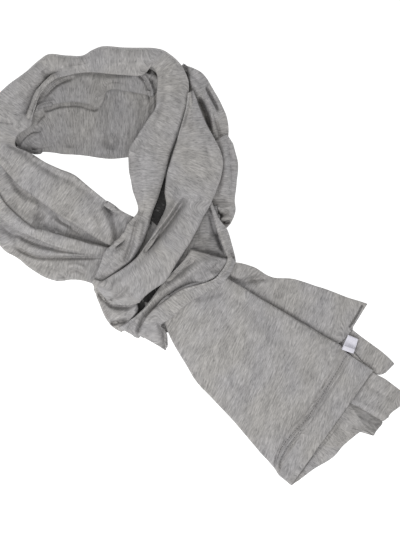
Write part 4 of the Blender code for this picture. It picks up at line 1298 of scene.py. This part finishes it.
def add_relief(tree, shader, height, strength, distance):
    """Feeds the height to the shader as relief."""
    relief = tree.nodes.new("ShaderNodeBump")
    relief.inputs["Strength"].default_value = strength
    relief.inputs["Distance"].default_value = distance
    tree.links.new(height, relief.inputs["Height"])
    tree.links.new(relief.outputs["Normal"], shader.inputs["Normal"])


def cloth_material(name, light, dark, settings, bump):
    """Heather jersey in two fibre shades."""
    made, tree, shader, lengths = new_material(name)
    shader.inputs["Roughness"].default_value = settings.roughness
    shader.inputs["Sheen Weight"].default_value = settings.sheen
    shader.inputs["Sheen Roughness"].default_value = 0.5
    shader.inputs["Specular IOR Level"].default_value = 0.25
    yarn = grouped(tree, "Heather yarn", heather_group, lengths)
    yarn.inputs["Light fibre"].default_value = (*light, 1)
    yarn.inputs["Dark fibre"].default_value = (*dark, 1)
    yarn.inputs["Streak depth"].default_value = settings.streak_depth
    tree.links.new(yarn.outputs["Color"], shader.inputs["Base Color"])
    knit = grouped(tree, "Jersey stitches", stitch_group, lengths)
    fibres = maths(tree, "MULTIPLY", yarn.outputs["Height"], 0.8)
    height = maths(tree, "ADD", fibres, knit.outputs["Height"])
    add_relief(tree, shader, height, bump, KNIT_RELIEF)
    return made


def label_material(name, settings):
    """Smooth woven tape, bare of any lettering."""
    made, tree, shader, lengths = new_material(name)
    shader.inputs["Roughness"].default_value = 0.55
    shader.inputs["Sheen Weight"].default_value = 0.1
    weave = grouped(tree, "Label weave", weave_group, lengths)
    weave.inputs["Tape colour"].default_value = (*settings.label_colour, 1)
    tree.links.new(weave.outputs["Color"], shader.inputs["Base Color"])
    add_relief(tree, shader, weave.outputs["Height"], CLOTH_BUMP, LABEL_RELIEF)
    return made


def finish_material(kind):
    """The material of that finish, made on its first use."""
    settings = bpy.context.scene.scarf_finish
    name = "scarf_" + kind
    found = bpy.data.materials.get(name)
    if found:
        return found
    if kind == "label":
        return label_material(name, settings)
    # Darker copies of the jersey, all painted shade: inside on the loop's inner back, shaded in the
    # recess, on the hidden layers and under the flap, deep in the hollows, thread for the hem's groove
    # line
    shades = {
        "inside": settings.inside_painted_shade,
        "shaded": settings.recess_painted_shade,
        "deep": settings.hollow_painted_shade,
        "thread": settings.thread_painted_shade,
    }
    shade = shades.get(kind, 1)
    fibres = (settings.light_fibre, settings.dark_fibre)
    light, dark = (tuple(part * shade for part in fibre) for fibre in fibres)
    bump = THREAD_BUMP if kind == "thread" else CLOTH_BUMP
    return cloth_material(name, light, dark, settings, bump)


class ScarfCloth(bpy.types.PropertyGroup):
    """Sizes of the cloth and its sewing"""

    thickness: FloatProperty(
        name="Cloth thickness",
        description="Wall of one layer of jersey",
        default=0.0016,
        min=0.001,
        max=0.003,
        unit="LENGTH",
    )
    mesh_step: FloatProperty(
        name="Mesh step",
        description="Distance between the points of the cloth",
        default=0.0012,
        min=0.001,
        max=0.006,
        unit="LENGTH",
    )
    edge_waver: FloatProperty(
        name="Edge waver",
        description="How far a fold's edge strays from its smooth line, in thousands of plan squares",
        default=0.0006,
        min=0.0,
        max=0.002,
    )
    wrinkle_depth: FloatProperty(
        name="Wrinkle depth",
        description="Height of the soft uneven wrinkles",
        default=0.0006,
        min=0.0,
        max=0.002,
        unit="LENGTH",
    )
    fold_strength: FloatProperty(
        name="Fold strength",
        description="Scale of every fold and crease",
        default=1.4,
        min=0.0,
        max=3.0,
    )
    ease: IntProperty(
        name="Ease",
        description="Points over which a lift over the layers below fades out",
        default=3,
        min=1,
        max=8,
    )
    stitch_length: FloatProperty(
        name="Stitch length",
        description="Length of one stitch of the hem",
        default=0.0026,
        min=0.001,
        max=0.006,
        unit="LENGTH",
    )
    thread_width: FloatProperty(
        name="Thread width",
        description="Width of the sewing thread",
        default=0.0008,
        min=0.0002,
        max=0.001,
        unit="LENGTH",
    )


class ScarfFinish(bpy.types.PropertyGroup):
    """Colours and surface of the cloth"""

    light_fibre: FloatVectorProperty(
        name="Light fibre",
        description="Colour of the lighter fibres of the melange",
        subtype="COLOR",
        default=(0.53, 0.52, 0.51),
        min=0.0,
        max=1.0,
    )
    dark_fibre: FloatVectorProperty(
        name="Dark fibre",
        description="Colour of the darker fibres of the melange",
        subtype="COLOR",
        default=(0.25, 0.246, 0.243),
        min=0.0,
        max=1.0,
    )
    # Painted shade: darkens the loop's inner back and the fold over it, for the shade inside the loop
    inside_painted_shade: FloatProperty(
        name="Inside shade",
        description="Brightness of the jersey's reverse face against its right side",
        subtype="FACTOR",
        default=0.8,
        min=0.1,
        max=1.0,
    )
    # Painted shade: darkens the recess, the hidden layers and the corner under the flap
    recess_painted_shade: FloatProperty(
        name="Recess shade",
        description="Brightness of the cloth in the recess and of the hidden layers",
        subtype="FACTOR",
        default=0.72,
        min=0.1,
        max=1.0,
    )
    # Painted shade: darkens the sewing thread so that the hem shows the dark line of its groove
    thread_painted_shade: FloatProperty(
        name="Thread shade",
        description="Brightness of the sewing thread against the cloth",
        subtype="FACTOR",
        default=0.5,
        min=0.05,
        max=1.0,
    )
    # Painted shade: makes the cloth in the hollows nearly black
    hollow_painted_shade: FloatProperty(
        name="Deep shade",
        description="Brightness of the hidden layers in the hollows, where no light comes in",
        subtype="FACTOR",
        default=0.08,
        min=0.05,
        max=1.0,
    )
    streak_depth: FloatProperty(
        name="Streak depth",
        description="Strength of the melange streaks",
        default=1.0,
        min=0.0,
        max=3.0,
    )
    roughness: FloatProperty(
        name="Roughness",
        description="Roughness of the jersey",
        subtype="FACTOR",
        default=0.92,
        min=0.0,
        max=1.0,
    )
    sheen: FloatProperty(
        name="Sheen",
        description="Soft glow of the fibres at a glancing angle",
        subtype="FACTOR",
        default=0.12,
        min=0.0,
        max=1.0,
    )
    label_colour: FloatVectorProperty(
        name="Label colour",
        description="Colour of the woven label",
        subtype="COLOR",
        default=(0.84, 0.83, 0.9),
        min=0.0,
        max=1.0,
    )


class ScarfStage(bpy.types.PropertyGroup):
    """Camera, floor and light"""

    camera_height: FloatProperty(
        name="Camera height",
        description="Height of the overhead camera above the floor",
        default=6.0,
        min=1.0,
        max=20.0,
        unit="LENGTH",
    )
    floor_brightness: FloatProperty(
        name="Floor brightness",
        description="Reflectance of the pale floor",
        subtype="FACTOR",
        default=0.35,
        min=0.0,
        max=1.0,
    )
    floor_glow: FloatProperty(
        name="Floor glow",
        description="Light given off by the floor, which keeps shadows on it faint",
        default=1.0,
        min=0.0,
        max=2.0,
    )
    sky: FloatProperty(
        name="Sky",
        description="Strength of the soft white light from all round",
        default=0.48,
        min=0.0,
        max=3.0,
    )
    key: FloatProperty(
        name="Key light",
        description="Power of the large soft lamp",
        default=14.0,
        min=0.0,
        max=500.0,
        unit="POWER",
    )


def ready_collection():
    """The scarf's collection, made on its first use."""
    found = bpy.data.collections.get("Scarf")
    if found is None:
        found = bpy.data.collections.new("Scarf")
        bpy.context.scene.collection.children.link(found)
    return found


class SCARF_OT_inner_layers(bpy.types.Operator):
    """Lays the hidden layers under the neck loop, the knot and the tails"""

    bl_idname = "scarf.inner_layers"
    bl_label = "Inner layers"

    def execute(self, context):
        ready_collection()
        PILE.clear()
        ring = layered("loop_inside", RING_LAYERS, 260, 4, True, ("hidden_layers",), 3)
        # Painted shade: the faces in the hollows take the nearly black deep copy of the jersey
        refinish(ring, HOLLOWS, "deep")
        layered("tail_inside", TAIL_LAYERS, 60, 3, False, ("tail_layers",), 4)
        return {"FINISHED"}


class SCARF_OT_tails(bpy.types.Operator):
    """Lays the two tails, from the lowest panel to the top one with its hem"""

    bl_idname = "scarf.tails"
    bl_label = "Tails"

    def execute(self, context):
        floor = ("floor",)
        flat = {"held": "laid", "rolled": False}
        panel("lowest_panel", TAIL_UNDER, (), ("tail_under",), floor, seed=11, **flat)
        end = panel("lower_end", TAIL_LOWER, TAIL_LOWER_FOLDS, ("tail_lower",), floor, seed=12, **flat)
        # Painted shadow: the corner under the flap's lower edge takes the shaded copy of the jersey
        refinish(end, (FLAP_SHADOW_CORNER,), "shaded")
        panel("flap", HEM_FLAP, HEM_FLAP_FOLDS, ("hem_flap",), ("lower_end",), seed=13, **flat)
        under = ("tail_inside", "lowest_panel")
        panel("back_panel", TAIL_BACK, TAIL_BACK_FOLDS, ("tail_back",), under, seed=14)
        under = ("tail_inside", "lower_end", "flap")
        shape = {"seed": 15, "wrinkle": 1.1, "lean": (-18, -18)}
        panel("top_panel", TAIL_FRONT, TAIL_FRONT_FOLDS, ("tail_front", "hem_band"), under, **shape)
        return {"FINISHED"}


class SCARF_OT_label(bpy.types.Operator):
    """Lays the bare woven label on the tail"""

    bl_idname = "scarf.label"
    bl_label = "Label"

    def execute(self, context):
        tape = {"finish": "label", "rolled": False, "wrinkle": 0.3, "rest": 0}
        label, flat = cloth("size_label", LABEL, (), seed=16, **tape)
        tab, _ = cloth("label_tab", LABEL_TAB, (), seed=17, **tape)
        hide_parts("label")
        return {"FINISHED"}


class SCARF_OT_inner_back(bpy.types.Operator):
    """Lays the inner face of the loop's back, with the fold that hangs over it"""

    bl_idname = "scarf.inner_back"
    bl_label = "Inner back"

    def execute(self, context):
        # The inner back and its fold take the darker inside copy of the jersey, which is painted shade
        shape = {"finish": "inside", "seed": 21, "wrinkle": 1.2, "rims": (1, 0.6)}
        panel("back_inside", INNER_BACK, INNER_BACK_FOLDS, ("inner_back",), ("loop_inside",), **shape)
        shape = {"finish": "inside", "seed": 22, "wrinkle": 0.8}
        under = ("back_inside",)
        panel("back_inside_fold", INNER_FOLD, INNER_FOLD_FOLDS, ("inner_fold",), under, **shape)
        return {"FINISHED"}


class SCARF_OT_bunches(bpy.types.Operator):
    """Lays the bunched cloth behind the knot, with the recess and the strip beside it"""

    bl_idname = "scarf.bunches"
    bl_label = "Bunches"

    def execute(self, context):
        under = ("loop_inside",)
        loose = {"held": "gathered", "wrinkle": 1.4}
        panel("upper_bunch", BUNCH_BACK, BUNCH_BACK_FOLDS, ("bunch_back",), under, seed=31, **loose)
        panel("side_bunch", BUNCH_SIDE, BUNCH_SIDE_FOLDS, ("bunch_side",), under, seed=32, **loose)
        # The recess takes the shaded copy of the jersey, which is painted shade
        panel("recess", RECESS_WRAP, RECESS_FOLDS, ("recess_wrap",), under, finish="shaded", seed=33)
        shape = {"seed": 34, "wrinkle": 0.8}
        panel("recess_strip", SIDE_STRIP, SIDE_STRIP_FOLDS, ("side_strip",), ("recess",), **shape)
        return {"FINISHED"}


class SCARF_OT_left_bands(bpy.types.Operator):
    """Lays the three lower folds of the loop's left side"""

    bl_idname = "scarf.left_bands"
    bl_label = "Left bands"

    def execute(self, context):
        panel("bottom_roll", LOWER_BAND, LOWER_BAND_FOLDS, ("lower_band",), ("loop_inside",), seed=41)
        panel("wide_fold", WIDE_FOLD, WIDE_FOLD_FOLDS, (), ("bottom_roll",), seed=43)
        shape = {"seed": 42, "wrinkle": 0.8}
        panel("narrow_fold", MIDDLE_BAND, MIDDLE_BAND_FOLDS, ("middle_band",), ("wide_fold",), **shape)
        return {"FINISHED"}


class SCARF_OT_neck_loop(bpy.types.Operator):
    """Lays the long fold of the neck loop, round from the knot and back down to it"""

    bl_idname = "scarf.neck_loop"
    bl_label = "Neck loop"

    def execute(self, context):
        nodes = ("front_fold", "shoulder", "collar", "right_band")
        under = ("wide_fold", "back_inside_fold", "upper_bunch")
        loop = BAND_FRONT + BAND_BACK + BAND_RIGHT
        shape = {"seed": 51, "wrinkle": 1.1, "rims": (1, 0.5), "hang": 3}
        panel("neck_loop", loop, LOOP_FOLDS, nodes, under, **shape)
        return {"FINISHED"}


class SCARF_OT_knot(bpy.types.Operator):
    """Lays the bight of the knot and the strand pulled through it"""

    bl_idname = "scarf.knot"
    bl_label = "Knot"

    def execute(self, context):
        panel("bight_below", BIGHT_LEFT, BIGHT_LEFT_FOLDS, ("bight_left",), ("loop_inside",), seed=61)
        under = ("recess", "top_panel")
        panel("bight_above", BIGHT_UPPER, BIGHT_UPPER_FOLDS, ("bight_upper",), under, seed=62)
        under = ("neck_loop", "bight_above")
        shape = {"seed": 63, "wrinkle": 1.2, "rims": (0.6, 0.9), "lean": (0, 30)}
        panel("pulled_strand", STRAND, STRAND_FOLDS, ("strand",), under, **shape)
        under = ("bight_above", "top_panel")
        shape = {"seed": 64, "wrinkle": 0.8, "rims": (0.8, 0.8), "lean": (-10, -10)}
        panel("bight_edge", BIGHT_RIM, BIGHT_RIM_FOLDS, ("bight_rim",), under, **shape)
        return {"FINISHED"}


class SCARF_OT_sewing(bpy.types.Operator):
    """Sews the hem, the cut edge of the back panel and the label"""

    bl_idname = "scarf.sewing"
    bl_label = "Sewing"

    def execute(self, context):
        settings = context.scene.scarf_cloth
        tail = [bpy.data.objects[name] for name in ("top_panel", "back_panel", "lower_end")]
        labelled = [*tail, bpy.data.objects["size_label"]]
        # The hem and overlock threads take the darker thread copy of the jersey, which is painted shade
        sewn_line("hem_stitches", HEM_LINES, tail, settings)
        overlocked_edge("cut_edge_thread", OVERLOCK_LINE, tail, settings)
        sewn_line("label_stitches", (LABEL_SEAM,), labelled, settings, "label")
        return {"FINISHED"}


def look_down(name, data, place, target):
    """An object that looks from its place to the target."""
    made = bpy.data.objects.new(name, data)
    made.location = place
    made.rotation_euler = (Vector(target) - Vector(place)).to_track_quat("-Z", "Y").to_euler()
    bpy.context.scene.collection.objects.link(made)
    return made


class SCARF_OT_stage(bpy.types.Operator):
    """Sets the overhead camera, the pale floor and the soft light"""

    bl_idname = "scarf.stage"
    bl_label = "Stage"

    def execute(self, context):
        scene = context.scene
        settings = scene.scarf_stage
        x = (VIEW_X - PLAN_MIDDLE_X) * PLAN
        y = (PLAN_MIDDLE_Y - VIEW_Y) * PLAN
        lens = bpy.data.cameras.new("camera")
        lens.lens = SENSOR * (settings.camera_height - VIEW_LEVEL) / (VIEW_TALL * PLAN)
        lens.clip_end = 50
        camera = bpy.data.objects.new("camera", lens)
        camera.location = (x, y, settings.camera_height)
        scene.collection.objects.link(camera)
        scene.camera = camera
        mesh = bpy.data.meshes.new("floor")
        corners = [(x * FLOOR_HALF, y * FLOOR_HALF, 0) for x, y in ((-1, -1), (1, -1), (1, 1), (-1, 1))]
        mesh.from_pydata(corners, [], [(0, 1, 2, 3)])
        floor = bpy.data.objects.new("floor", mesh)
        scene.collection.objects.link(floor)
        paint = bpy.data.materials.new("floor_white")
        paint.use_nodes = True
        shader = paint.node_tree.nodes["Principled BSDF"]
        shader.inputs["Base Color"].default_value = (*[settings.floor_brightness] * 3, 1)
        shader.inputs["Roughness"].default_value = 0.9
        shader.inputs["Emission Color"].default_value = (1, 1, 1, 1)
        shader.inputs["Emission Strength"].default_value = settings.floor_glow
        mesh.materials.append(paint)
        lamp = bpy.data.lights.new("key", "AREA")
        lamp.shape = "DISK"
        lamp.size = KEY_SIZE
        lamp.energy = settings.key
        key = look_down("key", lamp, KEY_PLACE, (0, 0, 0))
        world_light = bpy.data.worlds.new("studio")
        world_light.use_nodes = True
        sky = world_light.node_tree.nodes["Background"]
        sky.inputs["Color"].default_value = (1, 1, 1, 1)
        sky.inputs["Strength"].default_value = settings.sky
        scene.world = world_light
        scene.view_settings.view_transform = "Standard"
        return {"FINISHED"}


class SCARF_PT_panel(bpy.types.Panel):
    """The steps of the scarf, in the order they are run"""

    bl_label = "Scarf"
    bl_space_type = "VIEW_3D"
    bl_region_type = "UI"
    bl_category = "Scarf"

    def draw(self, context):
        for group in (context.scene.scarf_cloth, context.scene.scarf_finish, context.scene.scarf_stage):
            box = self.layout.box()
            for label in group.bl_rna.properties.keys():
                if label not in ("rna_type", "name"):
                    box.prop(group, label)
        for operator in OPERATORS:
            self.layout.operator(operator.bl_idname)


SETTINGS = (("scarf_cloth", ScarfCloth), ("scarf_finish", ScarfFinish), ("scarf_stage", ScarfStage))
OPERATORS = (
    SCARF_OT_inner_layers,
    SCARF_OT_tails,
    SCARF_OT_label,
    SCARF_OT_inner_back,
    SCARF_OT_bunches,
    SCARF_OT_left_bands,
    SCARF_OT_neck_loop,
    SCARF_OT_knot,
    SCARF_OT_sewing,
    SCARF_OT_stage,
)


def register():
    for _, group in SETTINGS:
        bpy.utils.register_class(group)
    for label, group in SETTINGS:
        setattr(bpy.types.Scene, label, PointerProperty(type=group))
    for operator in OPERATORS:
        bpy.utils.register_class(operator)
    bpy.utils.register_class(SCARF_PT_panel)


def unregister():
    bpy.utils.unregister_class(SCARF_PT_panel)
    for operator in reversed(OPERATORS):
        bpy.utils.unregister_class(operator)
    for label, group in reversed(SETTINGS):
        delattr(bpy.types.Scene, label)
        bpy.utils.unregister_class(group)


def main():
    register()
    bpy.ops.scarf.inner_layers()
    bpy.ops.scarf.tails()
    bpy.ops.scarf.label()
    bpy.ops.scarf.inner_back()
    bpy.ops.scarf.bunches()
    bpy.ops.scarf.left_bands()
    bpy.ops.scarf.neck_loop()
    bpy.ops.scarf.knot()
    bpy.ops.scarf.sewing()
    bpy.ops.scarf.stage()


if __name__ == "__main__":
    main()
